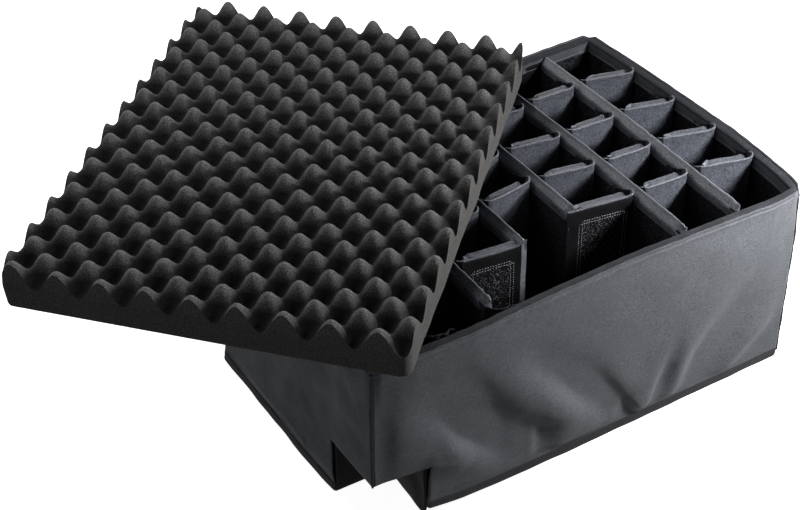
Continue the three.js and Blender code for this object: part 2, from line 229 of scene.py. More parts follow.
def loop_cloth(name, dark, light, bare=0.48):
    """Brushed nylon loop cloth: a matt black pile, with lighter specks in its colour that stand in for single
    loops catching the light, painted glints. bare is the share of it that stays dark."""
    made, tree, place = blank_material(name)
    tufts = add(
        tree, "ShaderNodeTexNoise", {"Vector": place, "Scale": 1 / (1.7 * MM), "Detail": 2, "Roughness": 0.6}
    )
    # Painted glints: the pile's colour runs from dark to the lighter tone of the specks
    tone = add(tree, "ShaderNodeValToRGB", {"Fac": tufts}, stops=[(bare, dark), (bare + 0.17, light)])
    pile = add(
        tree,
        "ShaderNodeBsdfPrincipled",
        {
            "Base Color": tone,
            "Roughness": 0.9,
            "Specular IOR Level": 0.02,
            "Sheen Weight": 0.06,
            "Sheen Roughness": 0.4,
            "Normal": add(tree, "ShaderNodeBump", {"Height": tufts, "Distance": 0.9 * MM, "Strength": 0.8}),
        },
    )
    add(tree, "ShaderNodeOutputMaterial", {"Surface": pile})
    return made


def woven_tape(name, dark, light):
    """Polypropylene binding tape: ribs 1.8 mm apart across its width, and a dull shine."""
    made, tree, place = blank_material(name)
    dark, light = linear(dark), linear(light)
    across = add(tree, "ShaderNodeSeparateXYZ", {"Vector": add(tree, "ShaderNodeUVMap", uv_map="cloth")})
    turns = add(
        tree, "ShaderNodeMath", {0: across.outputs["X"], 1: 2 * math.pi / (1.8 * MM)}, operation="MULTIPLY"
    )
    ribs = add(tree, "ShaderNodeMath", {0: turns}, operation="SINE")
    fibres = add(tree, "ShaderNodeTexNoise", {"Vector": place, "Scale": 1 / (1.2 * MM)})
    tone = add(tree, "ShaderNodeMix", {"Factor": fibres, "A": dark, "B": light}, data_type="RGBA")
    fuzz = add(tree, "ShaderNodeBump", {"Height": fibres, "Distance": 0.2 * MM, "Strength": 0.3})
    ribbed = add(
        tree, "ShaderNodeBump", {"Height": ribs, "Distance": 0.3 * MM, "Strength": 0.5, "Normal": fuzz}
    )
    tape = add(
        tree,
        "ShaderNodeBsdfPrincipled",
        {
            "Base Color": tone,
            "Roughness": 0.75,
            "Specular IOR Level": 0.08,
            "Normal": ribbed,
        },
    )
    add(tree, "ShaderNodeOutputMaterial", {"Surface": tape})
    return made


def cell_foam(name, low_mm, high_mm, pits_tones, cells_tones):
    """Open-cell polyurethane foam, hot-wire cut: matt charcoal and pitted all over, with painted shade that
    darkens it by height from crest down to hollow. Both pairs of tones run from hollow to crest. The pits are
    about 0.7 mm in fact, and are drawn twice as coarse so that they show."""
    made, tree, place = blank_material(name)
    # Painted shade: the tones darken downwards from high_mm to low_mm
    height = add(tree, "ShaderNodeSeparateXYZ", {"Vector": place}).outputs["Z"]
    up = add(tree, "ShaderNodeMapRange", {"Value": height, "From Min": low_mm * MM, "From Max": high_mm * MM})
    dark, light = (
        add(tree, "ShaderNodeValToRGB", {"Fac": up}, stops=[(0.0, hollow), (0.45, hollow), (0.92, crest)])
        for hollow, crest in (pits_tones, cells_tones)
    )
    cells = add(
        tree, "ShaderNodeTexNoise", {"Vector": place, "Scale": 1 / (1.4 * MM), "Detail": 3, "Roughness": 0.65}
    )
    share = add(tree, "ShaderNodeMapRange", {"Value": cells, "From Min": 0.44, "From Max": 0.64})
    tone = add(tree, "ShaderNodeMix", {"Factor": share, "A": dark, "B": light}, data_type="RGBA")
    surface = add(
        tree,
        "ShaderNodeBsdfPrincipled",
        {
            "Base Color": tone,
            "Roughness": 0.95,
            "Specular IOR Level": 0.02,
            "Sheen Weight": 0.05,
            "Sheen Roughness": 0.6,
            "Normal": add(tree, "ShaderNodeBump", {"Height": cells, "Distance": 0.8 * MM, "Strength": 0.55}),
        },
    )
    add(tree, "ShaderNodeOutputMaterial", {"Surface": surface})
    return made


def sewing_thread(name, dark, light):
    """Bonded polyester thread: twisted, with a slight gloss."""
    made, tree, place = blank_material(name)
    dark, light = linear(dark), linear(light)
    twist = add(tree, "ShaderNodeTexNoise", {"Vector": place, "Scale": 1 / (0.8 * MM), "Detail": 1})
    tone = add(tree, "ShaderNodeMix", {"Factor": twist, "A": dark, "B": light}, data_type="RGBA")
    thread = add(
        tree, "ShaderNodeBsdfPrincipled", {"Base Color": tone, "Roughness": 0.55, "Specular IOR Level": 0.3}
    )
    add(tree, "ShaderNodeOutputMaterial", {"Surface": thread})
    return made


cover_nylon = coated_nylon(
    "cover_nylon_oxford", "#404245", "#54565a", rough=(0.6, 0.75), weave_mm=2.0, specular=0.05,
    fleck_mm=1.7, even=0.15,
)
dark_nylon = coated_nylon(
    "well_nylon_oxford", "#141416", "#1c1c1f", rough=(0.6, 0.75), weave_mm=2.0, specular=0.03
)
border_nylon = coated_nylon(
    "border_nylon_cloth", "#09090b", "#131417", rough=(0.45, 0.6), weave_mm=1.6, specular=0.03
)
divider_nylon = coated_nylon(
    "divider_nylon_cloth", "#292b31", "#54575f", rough=(0.36, 0.5), weave_mm=1.6, specular=0.3,
    fleck_mm=1.7, even=0.2,
)
# Painted highlight: a lighter copy of the divider cloth, put on the folded ridges and edges of the dividers
# where they catch the light
ridge_highlight_nylon = coated_nylon(
    "ridge_highlight_cloth", "#5d6067", "#7b7e86", rough=(0.4, 0.55), weave_mm=1.6, specular=0.2
)
rim_nylon = coated_nylon(
    "rim_nylon_cloth", "#3a3c40", "#4d4f54", rough=(0.45, 0.6), weave_mm=1.8, specular=0.08
)
band_nylon = coated_nylon(
    "rim_band_nylon", "#1f2023", "#333438", rough=(0.55, 0.7), weave_mm=1.8, specular=0.05
)
black_loop = loop_cloth("black_loop_pile", "#0a0a0c", "#33353c")
# Loop cloth with fewer, paler specks, painted glints, for the closing dividers' panels
pale_speck_loop = loop_cloth("pale_speck_loop_pile", "#060607", "#63656d", bare=0.55)
edge_tape = woven_tape("edge_binding_tape", "#1c1c1e", "#303033")
seam_tape = woven_tape("corner_seam_tape", "#101012", "#1c1c1e")
# Painted shade: each foam darkens with height, the lid into its hollows, the cut sides and wall pads towards
# their foot
lid_cell_foam = cell_foam(
    "open_cell_foam", TRAY_HEIGHT + FOAM_BASE, TRAY_HEIGHT + FOAM_THICKNESS,
    ("#1b1a1a", "#474646"), ("#2a2929", "#717070"),
)
cut_cell_foam = cell_foam(
    "cut_open_cell_foam", TRAY_HEIGHT, TRAY_HEIGHT + FOAM_THICKNESS,
    ("#3a3938", "#434241"), ("#565554", "#605f5e"),
)
board_foam = cell_foam("wall_pad_foam", 0.0, TRAY_HEIGHT, ("#2c2c2e", "#38383a"), ("#4c4b4c", "#4c4b4c"))
seam_thread = sewing_thread("polyester_thread", "#5a5b60", "#8a8b91")

# ---------------------------------------------------------------- mesh building


def smooth(value):
    """0 below 0, 1 above 1, and an even rise between."""
    t = np.clip(value, 0, 1)
    return t * t * (3 - 2 * t)


def hill(distance, reach):
    """1 at no distance, fading to nothing past the reach."""
    return np.exp(-((distance / reach) ** 2))


RIPPLE_WAVES = 12


def ripple(places, size, seed):
    """Uneven rise and fall of cloth, mostly from -1 to 1, with folds about size apart."""
    rng = np.random.default_rng(seed)
    flat = places.reshape(-1, places.shape[-1])
    way = rng.normal(size=(RIPPLE_WAVES, flat.shape[1]))
    way /= np.linalg.norm(way, axis=1)[:, None]
    turns = 2 * np.pi / (size * rng.uniform(0.75, 1.9, RIPPLE_WAVES))
    phase = rng.uniform(0, 2 * np.pi, RIPPLE_WAVES)
    rise = np.cos(flat @ (way * turns[:, None]).T + phase).sum(1) / math.sqrt(RIPPLE_WAVES)
    return rise.reshape(places.shape[:-1])


def run_of(line):
    """How far along a line each of its points is."""
    return np.concatenate([[0], np.cumsum(np.linalg.norm(np.diff(line, axis=0), axis=1))])


def looped(line):
    """A line with its first point again at its end."""
    return np.vstack([line, line[:1]])


def sideways(ways):
    """The unit directions to the left of plan directions."""
    ways = ways / np.linalg.norm(ways, axis=1)[:, None]
    return np.stack([-ways[:, 1], ways[:, 0]], axis=1)


def near_line(x, y, points):
    """How far each place is to the left of a line through points as it runs on (below 0 on its right),
    how far it is from the line, and how far along the line it is, as a share."""
    line = np.array(points, float)
    steps = np.linalg.norm(np.diff(line, axis=0), axis=1)
    start = run_of(line)
    best = np.full(np.shape(x), np.inf)
    signed = np.zeros(np.shape(x))
    share = np.zeros(np.shape(x))
    for a, b, step, gone in zip(line[:-1], line[1:], steps, start):
        way = (b - a) / step
        t = np.clip((x - a[0]) * way[0] + (y - a[1]) * way[1], 0, step)
        off_x, off_y = x - a[0] - t * way[0], y - a[1] - t * way[1]
        far = np.hypot(off_x, off_y)
        closer = far < best
        best = np.where(closer, far, best)
        signed = np.where(closer, off_y * way[0] - off_x * way[1], signed)
        share = np.where(closer, (gone + t) / start[-1], share)
    return signed, best, share


def cells(i, j, rows, count, along, across):
    """Quads and cloth map of cells (i, j) of a net of rows by count points, going round past its ends."""
    i_next, j_next = (i + 1) % rows, (j + 1) % count
    quads = np.stack([i * count + j, i * count + j_next, i_next * count + j_next, i_next * count + j], axis=1)
    u = np.stack([along[i], along[i], along[i + 1], along[i + 1]], axis=1)
    v = np.stack([across[j], across[j + 1], across[j + 1], across[j]], axis=1)
    return quads, np.stack([u, v], axis=2)


def loft(rings, round_trip=False):
    """Points, quads and cloth map of rings of points (rows, points, 3). Each ring is closed.
    A ring's first and last points face each other, so its ends close in strips."""
    rows, count, _ = rings.shape
    i, j = np.meshgrid(np.arange(rows if round_trip else rows - 1), np.arange(count), indexing="ij")
    along, across = run_of(looped(rings.mean(1))), run_of(looped(rings[rows // 2]))
    quads, uv = cells(i.ravel(), j.ravel(), rows, count, along, across)
    if not round_trip:
        k = np.arange(count // 2 - 1)
        first = np.stack([k, count - 1 - k, count - 2 - k, k + 1], axis=1)
        last = np.stack([k, k + 1, count - 2 - k, count - 1 - k], axis=1) + (rows - 1) * count
        for cap in (first, last):
            quads = np.vstack([quads, cap])
            flat = rings.reshape(-1, 3)[cap]
            uv = np.vstack([uv, np.stack([flat[..., 0] + flat[..., 1], flat[..., 2]], axis=2)])
    return rings.reshape(-1, 3), quads, uv


def grid(points, keep=None):
    """Points, quads and cloth map of a sheet of points (rows, columns, 3), without the cells that keep
    leaves out."""
    rows, count, _ = points.shape
    i, j = np.meshgrid(np.arange(rows - 1), np.arange(count - 1), indexing="ij")
    i, j = i.ravel(), j.ravel()
    if keep is not None:
        i, j = i[keep.ravel()], j[keep.ravel()]
    quads, uv = cells(i, j, rows, count, run_of(points[:, count // 2]), run_of(points[rows // 2]))
    return points.reshape(-1, 3), quads, uv


def joined(*parts):
    """Several (points, quads, uv) parts as one."""
    points, quads, uvs, start = [], [], [], 0
    for part_points, part_quads, part_uv in parts:
        points.append(part_points)
        quads.append(part_quads + start)
        uvs.append(part_uv)
        start += len(part_points)
    return np.vstack(points), np.vstack(quads), np.vstack(uvs)


def six_times_volume(points, quads):
    """Below 0 where a closed part's faces point inwards."""
    a, b, c, d = (points[quads[:, k]] for k in range(4))
    return (a * np.cross(b, c)).sum() + (a * np.cross(c, d)).sum()


def make(name, part, finishes, body, nodes, which=None, crease_degrees=50.0, facing=None):
    """A finished piece from (points, quads, uv) in millimetres, riding on a body in place of CAD nodes.
    which gives each face's finish. A closed part is turned outwards, and an open one towards facing."""
    points, quads, uv = part
    if facing is None:
        inside_out = six_times_volume(points, quads) < 0
    else:
        a, b, d = (points[quads[:, k]] for k in (0, 1, 3))
        inside_out = (np.cross(b - a, d - a).sum(0) * np.array(facing)).sum() < 0
    if inside_out:
        quads, uv = quads[:, ::-1], uv[:, ::-1]
    used, quads = np.unique(quads, return_inverse=True)
    quads = quads.reshape(-1, 4)
    points = points[used]
    mesh = bpy.data.meshes.new(name)
    mesh.vertices.add(len(points))
    mesh.vertices.foreach_set("co", (points * MM).astype(np.float32).ravel())
    mesh.loops.add(quads.size)
    mesh.loops.foreach_set("vertex_index", quads.astype(np.int32).ravel())
    mesh.polygons.add(len(quads))
    mesh.polygons.foreach_set("loop_start", np.arange(0, quads.size, 4, dtype=np.int32))
    for finish in finishes:
        mesh.materials.append(finish)
    if which is not None:
        mesh.polygons.foreach_set("material_index", np.asarray(which, np.int32))
    mesh.update(calc_edges=True)
    layer = mesh.uv_layers.new(name="cloth")
    layer.data.foreach_set("uv", (uv * MM).astype(np.float32).ravel())
    mesh.polygons.foreach_set("use_smooth", np.ones(len(quads), bool))
    mesh.set_sharp_from_angle(angle=math.radians(crease_degrees))
    made = linked(name, mesh)
    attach(made, body)
    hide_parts(*nodes)
    return made


def thicken(piece, thickness_mm):
    """Gives an open sheet of cloth its thickness, inwards from its outer face."""
    solid = piece.modifiers.new("cloth thickness", "SOLIDIFY")
    solid.thickness = thickness_mm * MM
    solid.offset = -1.0
    solid.use_even_offset = True
    return piece


def carried(path, side, profile, squeeze=None, raised=None):
    """The rings of a profile (across, up) carried along a plan line, side being the line's own sideways
    direction. squeeze narrows each ring and raised lifts its upper part."""
    rows, count = len(path), len(profile)
    across = np.repeat(profile[None, :, 0], rows, 0)
    up = np.repeat(profile[None, :, 1], rows, 0)
    if squeeze is not None:
        across = across * squeeze[:, None]
    if raised is not None:
        low, high = profile[:, 1].min(), profile[:, 1].max()
        up = up + raised[:, None] * ((profile[:, 1] - low) / (high - low))[None, :] ** 3
    rings = np.empty((rows, count, 3))
    rings[..., 0] = path[:, None, 0] + side[:, None, 0] * across
    rings[..., 1] = path[:, None, 1] + side[:, None, 1] * across
    rings[..., 2] = up
    return rings


def even_line(points, step):
    """A plan line again with points about step apart, and its sideways directions."""
    line = np.array(points, float)
    gone = run_of(line)
    at = np.linspace(0, gone[-1], max(2, int(round(gone[-1] / step)) + 1))
    fine = np.stack([np.interp(at, gone, line[:, k]) for k in range(2)], axis=1)
    return fine, sideways(np.gradient(fine, axis=0))


def mirrored(half):
    """A closed profile from its right half, which runs from the foot to the top."""
    right = np.array(half, float)
    left = right * (-1, 1)
    return np.vstack([left, right[::-1]])


# ---------------------------------------------------------------- how the soft tray stands

# (place along the wall from the left or the front, millimetres) of each wall's bow, sag or lean
FRONT_BOW = [(0, 3), (50, 7), (120, 7.5), (200, 4), (318, 1.2), (430, 3), (520, 5), (560, 1)]
FRONT_SAG = [(0, 3), (50, 5), (120, 5.5), (200, 3), (318, 0.6), (450, 1), (530, 2.5), (560, 1)]
BACK_SAG = [(0, 2), (150, 3.5), (300, 1), (430, 2.5), (530, 0), (560, 0)]
RIGHT_LEAN = [(0, 1), (23, 6), (80, 10.5), (126, 12.5), (219, 9.5), (309, 6), (370, 1.5), (398, 0)]
LEFT_BULGE = [(0, 0), (84, 1), (150, 6), (233, 7.5), (344, 11), (398, 8)]
NOTCH_LIFT = [(0, 12), (8, 24), (20, 29), (50, 24), (84, 14), (110, 0)]

# How far in from each wall its own movement reaches, and the heights from which it grows
SIDE_REACH, END_REACH, RIGHT_FADE = 45.0, 60.0, 40.0
SLACK_FROM, RIM_FROM = 95.0, 170.0

# How the cloth over a wheel well's corner rises: beside the well, and as the near corner curls up
NOTCH_REACH, NOTCH_FADE = 20.0, 110.0
CORNER_CURL, CORNER_CURL_REACH = 12.0, 60.0

# How far each rim corner is rounded down and in
RIM_CORNER_REACH, RIM_CORNER_DROP, RIM_CORNER_PULL = 11.0, 5.0, 2.5


def knots(table, place):
    """A table of (place, value) read at places between its own."""
    xs, ys = zip(*table)
    return np.interp(place, xs, ys)


def right_lean(y, z):
    """How far the right wall leans out: most at its rim, a third of the way back."""
    return knots(RIGHT_LEAN, y + HALF_WIDTH) * np.clip((z - TAPE_HEIGHT) / (TRAY_HEIGHT - TAPE_HEIGHT), 0, 1)


def slumped(points):
    """The shell's points moved from the box that the tray was sewn to, to how it stands."""
    shape = points.shape
    x, y, z = points.reshape(-1, 3).T.copy()
    from_left, from_front = x + HALF_LENGTH, y + HALF_WIDTH
    front = smooth(1 - from_front / SIDE_REACH)
    back = smooth(1 - (TRAY_WIDTH - from_front) / SIDE_REACH)
    left = smooth(1 - from_left / END_REACH)
    right = smooth((from_left - TRAY_LENGTH + END_REACH) / RIGHT_FADE)
    upper = smooth((z - SLACK_FROM) / (TRAY_HEIGHT - SLACK_FROM))
    rim = smooth((z - RIM_FROM) / (TRAY_HEIGHT - RIM_FROM))
    foot = np.clip(1 - z / SLACK_FROM, 0, 1) ** 1.4
    shift_x = right * right_lean(y, z) - left * foot * knots(LEFT_BULGE, from_front)
    shift_y = -front * upper * knots(FRONT_BOW, from_left)
    shift_z = -front * rim * knots(FRONT_SAG, from_left) - back * rim * knots(BACK_SAG, from_left)
    past_well = from_left - WELL_LENGTH
    notch = np.clip(1 - np.abs(past_well) / NOTCH_REACH, 0, 1) * knots(NOTCH_LIFT, from_front)
    curl = CORNER_CURL * np.exp(-np.clip(past_well, 0, None) / CORNER_CURL_REACH) * front
    lift = np.maximum(notch, curl) * (past_well > -1)
    shift_z += lift * np.clip(1 - z / NOTCH_FADE, 0, 1) ** 1.3
    for corner_x, inward_x in ((0, 1), (TRAY_LENGTH, -1)):
        for corner_y, inward_y in ((0, 1), (TRAY_WIDTH, -1)):
            off = np.hypot(from_left - corner_x, from_front - corner_y)
            near = np.clip(1 - off / RIM_CORNER_REACH, 0, 1) * rim
            shift_z -= RIM_CORNER_DROP * near
            shift_x += inward_x * RIM_CORNER_PULL * near
            shift_y += inward_y * RIM_CORNER_PULL * near
    return np.stack([x + shift_x, y + shift_y, z + shift_z], axis=1).reshape(shape)


# ---------------------------------------------------------------- lid foam

FOAM_CELL = 2.75

# How unevenly the crests are cut, and how the one at the near left corner stands higher
CREST_UNEVEN, FIRST_CREST_RISE, FIRST_CREST_REACH = 0.8, 4.5, 16.0

# Heights and shares of the rest at which the cut sides have points, how far their foot is drawn in, and
# how far the cut wavers
SIDE_LEVELS, SIDE_SHARES = [0.0, 0.7, 2.0, 5.0, 10.0, 15.0, 20.0], [0.25, 0.5, 0.75]
FOOT_LEVEL, FOOT_INSET, CUT_WAVER = 2.0, 1.1, 0.7


def foam_rise(x, y):
    """Height of the wave at a place on the foam, with the slight unevenness of a wire cut."""
    half = CREST_PITCH / 2
    rng = np.random.default_rng(5)
    across, up = int(FOAM_WIDTH / half) + 4, int(FOAM_LENGTH / half) + 4
    uneven = np.abs(rng.normal(0, CREST_UNEVEN, (across, up)))
    column = np.clip(np.round(x / half).astype(int) + 2, 0, across - 1)
    row = np.clip(np.round(y / half).astype(int) + 2, 0, up - 1)
    wave = np.cos(np.pi * x / half) * np.cos(np.pi * y / half)
    height = FOAM_BASE + (FOAM_THICKNESS - FOAM_BASE) * (1 + wave) / 2
    first_crest = FIRST_CREST_RISE * hill(np.hypot(x, y), FIRST_CREST_REACH)
    return height - uneven[column, row] * wave**4 * (wave > 0) + first_crest


def foam_plan():
    """Plan places of the foam's net, with its corners rounded and its right cut askew."""
    half_width, half_length, radius = FOAM_WIDTH / 2, FOAM_LENGTH / 2, FOAM_CORNER_RADIUS
    u = np.linspace(-half_width, half_width, int(round(FOAM_WIDTH / FOAM_CELL)) + 1)
    v = np.linspace(-half_length, half_length, int(round(FOAM_LENGTH / FOAM_CELL)) + 1)
    u, v = np.meshgrid(u, v)
    over_u = np.clip(np.abs(u) - (half_width - radius), 0, None) / radius
    over_v = np.clip(np.abs(v) - (half_length - radius), 0, None) / radius
    pull_u = radius * over_u * (1 - np.sqrt(1 - over_v**2 / 2))
    pull_v = radius * over_v * (1 - np.sqrt(1 - over_u**2 / 2))
    u, v = u - np.sign(u) * pull_u, v - np.sign(v) * pull_v
    askew = FOAM_ASKEW * np.clip(u / FOAM_WIDTH + 0.5, 0, 1) ** 3 * v / FOAM_LENGTH
    return u - askew + half_width - CREST_SIDE_INSET, v + half_length - CREST_FRONT_INSET


def foam_part():
    """The foam as (points, quads, uv), and which of its faces are the cut sides."""
    x, y = foam_plan()
    rows, columns = x.shape[0] - 1, x.shape[1] - 1
    top = np.stack([x, y, foam_rise(x, y)], axis=2)
    bottom = np.stack([x, y, np.zeros_like(x)], axis=2)
    loop_i = np.concatenate(
        [np.zeros(columns, int), np.arange(rows), np.full(columns, rows), np.arange(rows, 0, -1)]
    )
    loop_j = np.concatenate(
        [np.arange(columns), np.full(rows, columns), np.arange(columns, 0, -1), np.zeros(rows, int)]
    )

    # Outward plan directions round the edge
    edge = top[loop_i, loop_j]
    half = np.array([FOAM_WIDTH / 2, FOAM_LENGTH / 2])
    out = edge[:, :2] - (half - (CREST_SIDE_INSET, CREST_FRONT_INSET))
    square = np.abs(out / half)
    out = np.sign(out) * (square > square.max(1)[:, None] - 0.03)
    out = out / np.linalg.norm(out, axis=1)[:, None]

    # Rings of points up the cut sides
    count = len(loop_i)
    heights = [np.full(count, level) for level in SIDE_LEVELS]
    heights += [SIDE_LEVELS[-1] + (edge[:, 2] - SIDE_LEVELS[-1]) * share for share in SIDE_SHARES]
    insets = [FOOT_INSET * (1 - min(1, level / FOOT_LEVEL)) ** 2 for level in SIDE_LEVELS]
    insets += [0.0] * len(SIDE_SHARES)
    sides = np.array(
        [np.column_stack([edge[:, :2] - out * inset, height]) for inset, height in zip(insets, heights)]
    )
    waver = ripple(sides * (1, 1, 1.6), 60, 11) * CUT_WAVER
    level_number = np.arange(len(sides))
    fade = np.minimum(1, level_number / 2) * np.minimum(1, (len(sides) - level_number) / 3)
    sides[..., :2] -= out * (waver * fade[:, None])[..., None]
    bottom[loop_i, loop_j] = sides[0]

    # Top, bottom and sides as one closed mesh, turned to how it lies on the tray
    top_points, top_quads, _ = grid(top)
    low_points, low_quads, _ = grid(bottom)
    side_points = sides[1:].reshape(-1, 3)
    low_start = len(top_points)
    side_start = low_start + len(low_points)
    edge_index = loop_i * (columns + 1) + loop_j
    side_index = side_start + np.arange(len(side_points)).reshape(-1, count)
    index = np.vstack([edge_index + low_start, side_index, edge_index])
    a, b = index[:-1], index[1:]
    side_quads = np.stack([a, np.roll(a, -1, 1), np.roll(b, -1, 1), b], axis=2).reshape(-1, 4)
    points = np.vstack([top_points, low_points, side_points])
    quads = np.vstack([top_quads, low_quads[:, ::-1] + low_start, side_quads])
    uv = points[quads][..., :2] + points[quads][..., 2:]
    cosine, sine = math.cos(FOAM_TURN), math.sin(FOAM_TURN)
    turned = points[:, :2] @ np.array([[cosine, sine], [-sine, cosine]])
    part = (np.column_stack([turned, points[:, 2]]) + FOAM_PLACE, quads, uv)
    return part, np.arange(len(quads)) >= len(quads) - len(side_quads)


foam, cut_side = foam_part()
lid_foam = make(
    "egg_crate_lid_foam", foam, [lid_cell_foam, cut_cell_foam], "lid_foam", ["lid_foam"],
    which=cut_side,
)

# ---------------------------------------------------------------- walls: cover cloth

# The size of a cover's faces, and how far a notch runs on past its corner
COVER_CELL, PAST_EDGE = 3.2, 5.0

# A cover's slack belly, how far in from the seams and edges it is held, and its creases' heights
BELLY, SEAM_HOLD, TAPE_HOLD, RIM_HOLD = 3.0, 30.0, 16.0, 30.0
WIDE_CREASE, FINE_CREASE = 0.3, 0.07

# Folds that the covers show: lines of (across from the left or the front corner, up), each with its
# width and how steeply the cloth falls away to the left of the line as it runs on (below 0 where it
# rises)
FRONT_FOLDS = [
    ([(124, 188), (179, 97), (226, 57), (228, 14)], 14, -0.24),
    ([(205, 140), (232, 108), (281, 49)], 15, 0.5),
    ([(92, 118), (105, 98), (132, 68)], 13, 0.8),
    ([(101, 142), (140, 122), (160, 90), (164, 62)], 9, -0.18),
    ([(300, 90), (320, 60), (343, 25)], 10, -0.34),
    ([(331, 42), (345, 20)], 3.5, -0.7),
    ([(322, 44), (316, 18)], 6, 0.3),
    ([(204, 66), (204, 24)], 5, 0.3),
    ([(70, 82), (99, 76)], 6, 0.3),
    ([(60, 100), (84, 97)], 9, 0.25),
    ([(380, 76), (360, 22)], 9, 0.4),
    ([(399, 88), (383, 22)], 9, -0.32),
    ([(452, 112), (422, 72), (404, 20)], 17, 0.34),
    ([(512, 84), (478, 50), (456, 22)], 13, -0.3),
    ([(545, 72), (510, 44), (472, 15)], 14, 0.25),
    ([(30, 180), (62, 130), (88, 100)], 20, 0.16),
    ([(440, 235), (520, 190)], 40, 0.08),
    ([(20, 235), (20, 90)], 20, -0.12),
]
LEFT_FOLDS = [
    ([(100, 190), (160, 90), (200, 30)], 14, -0.16),
    ([(160, 200), (230, 110), (290, 30)], 18, 0.16),
    ([(250, 160), (320, 90), (360, 40)], 12, -0.18),
    ([(300, 200), (380, 110)], 16, 0.14),
    ([(60, 150), (90, 95)], 12, 0.16),
]
BACK_FOLDS = [
    ([(90, 200), (170, 110), (240, 30)], 20, 0.18),
    ([(180, 210), (250, 120), (300, 30)], 14, -0.2),
    ([(300, 30), (350, 110), (430, 190)], 18, 0.18),
    ([(380, 20), (430, 90), (520, 160)], 12, -0.18),
]
RIGHT_FOLDS = [
    ([(60, 40), (130, 110), (180, 200)], 16, 0.16),
    ([(140, 25), (190, 90), (230, 170)], 12, -0.18),
    ([(230, 160), (280, 90), (330, 25)], 18, 0.16),
    ([(300, 190), (350, 100)], 12, -0.16),
]


def cover_relief(across, up, folds, length, seed):
    """How far a cover stands out from its board: a slack belly, sewn folds and small creases."""
    share = np.clip(across / length, 0, 1)
    pinned = smooth(across / SEAM_HOLD) * smooth((length - across) / SEAM_HOLD)
    held = smooth((up - TAPE_HEIGHT) / TAPE_HOLD) * smooth((TRAY_HEIGHT - 8 - up) / RIM_HOLD)
    out = BELLY * np.sin(np.pi * share) ** 0.5 * held
    for points, width, slope in folds:
        signed, far, along = near_line(across, up, points)
        taper = 0.35 + 0.65 * np.sin(np.pi * np.clip(0.08 + 0.84 * along, 0, 1))
        fall = -1.25 * slope * width * np.tanh(signed / width) * hill(far, 2.6 * width)
        out = out + fall * taper * smooth((up - TAPE_HEIGHT) / 10)
    places = np.stack([across, up], axis=-1)
    out = out + WIDE_CREASE * ripple(places, 60, seed) * held
    out = out + FINE_CREASE * ripple(places, 15, seed + 1) * held
    out = out * (0.25 + 0.75 * pinned) + 0.7
    # A soft floor, so that no fold sinks into the board
    return (out + np.sqrt(out**2 + 2.6)) / 2 - 0.75


def cover(name, length, folds, seed, start, along, outward, notches):
    """A wall's outer cloth, from a plan corner along the wall. notches are (from, to) ranges across that
    are cut away below the wheel wells' height."""
    edge = 1.0
    breaks = sorted({edge, length - edge, *[x for notch in notches for x in notch if 0 < x < length]})
    across = [[edge]]
    for a, b in zip(breaks[:-1], breaks[1:]):
        across.append(np.linspace(a, b, int(round((b - a) / COVER_CELL)) + 1)[1:])
    across = np.concatenate(across)
    up = np.concatenate(
        [np.linspace(TAPE_HEIGHT - 4, WELL_HEIGHT, 24), np.linspace(WELL_HEIGHT, TRAY_HEIGHT - 3, 54)[1:]]
    )
    across, up = np.meshgrid(across, up, indexing="ij")
    out = cover_relief(across, up, folds, length, seed)
    plan = np.array(start) + across[..., None] * np.array(along) + out[..., None] * np.array(outward)
    points = slumped(np.concatenate([plan, up[..., None]], axis=-1))
    middle_across = (across[:-1, :-1] + across[1:, 1:]) / 2
    middle_up = (up[:-1, :-1] + up[1:, 1:]) / 2
    keep = np.ones(middle_up.shape, bool)
    for low, high in notches:
        keep &= ~((middle_across > low) & (middle_across < high) & (middle_up < WELL_HEIGHT))
    piece = make(
        name + "_cover_cloth", grid(points, keep), [cover_nylon], "tray", [name + "_cover"],
        facing=(*outward, 0),
    )
    thicken(piece, COVER_CLOTH)


END_NOTCH = (-PAST_EDGE, WELL_LENGTH)
LEFT_NOTCHES = [(-PAST_EDGE, WELL_NEAR_DEPTH), (TRAY_WIDTH - WELL_FAR_DEPTH, TRAY_WIDTH + PAST_EDGE)]
for name, length, folds, seed, start, along, outward, notches in (
    ("front", TRAY_LENGTH, FRONT_FOLDS, 21, (-HALF_LENGTH, -HALF_WIDTH), (1, 0), (0, -1), [END_NOTCH]),
    ("back", TRAY_LENGTH, BACK_FOLDS, 31, (-HALF_LENGTH, HALF_WIDTH), (1, 0), (0, 1), [END_NOTCH]),
    ("left", TRAY_WIDTH, LEFT_FOLDS, 41, (-HALF_LENGTH, -HALF_WIDTH), (0, 1), (-1, 0), LEFT_NOTCHES),
    ("right", TRAY_WIDTH, RIGHT_FOLDS, 51, (HALF_LENGTH, -HALF_WIDTH), (0, 1), (1, 0), []),
):
    cover(name, length, folds, seed, start, along, outward, notches)

# ---------------------------------------------------------------- walls: pads, linings, corner seams

# Each wall's plan line and its inward direction. The end walls stop at the long ones
LONG_WALL_END, END_WALL_END = 2.0, 11.0
LONG_WALL, END_WALL = HALF_LENGTH - LONG_WALL_END, HALF_WIDTH - END_WALL_END
WALL_LINES = {
    "front": ([(-LONG_WALL, -HALF_WIDTH), (LONG_WALL, -HALF_WIDTH)], (0, 1)),
    "back": ([(-LONG_WALL, HALF_WIDTH), (LONG_WALL, HALF_WIDTH)], (0, -1)),
    "left": ([(-HALF_LENGTH, -END_WALL), (-HALF_LENGTH, END_WALL)], (1, 0)),
    "right": ([(HALF_LENGTH, -END_WALL), (HALF_LENGTH, END_WALL)], (-1, 0)),
}

# Gaps beside the boards and round the wheel wells, the heights of the walls' layers, and how far the
# linings run up under the rim's hem
PAD_GAP, WELL_GAP = 0.3, 0.5
WALL_FOOT, BOARD_TOP = PAD_TOP + 0.6, TRAY_HEIGHT - 7.0
LINING_TUCK = 4.0


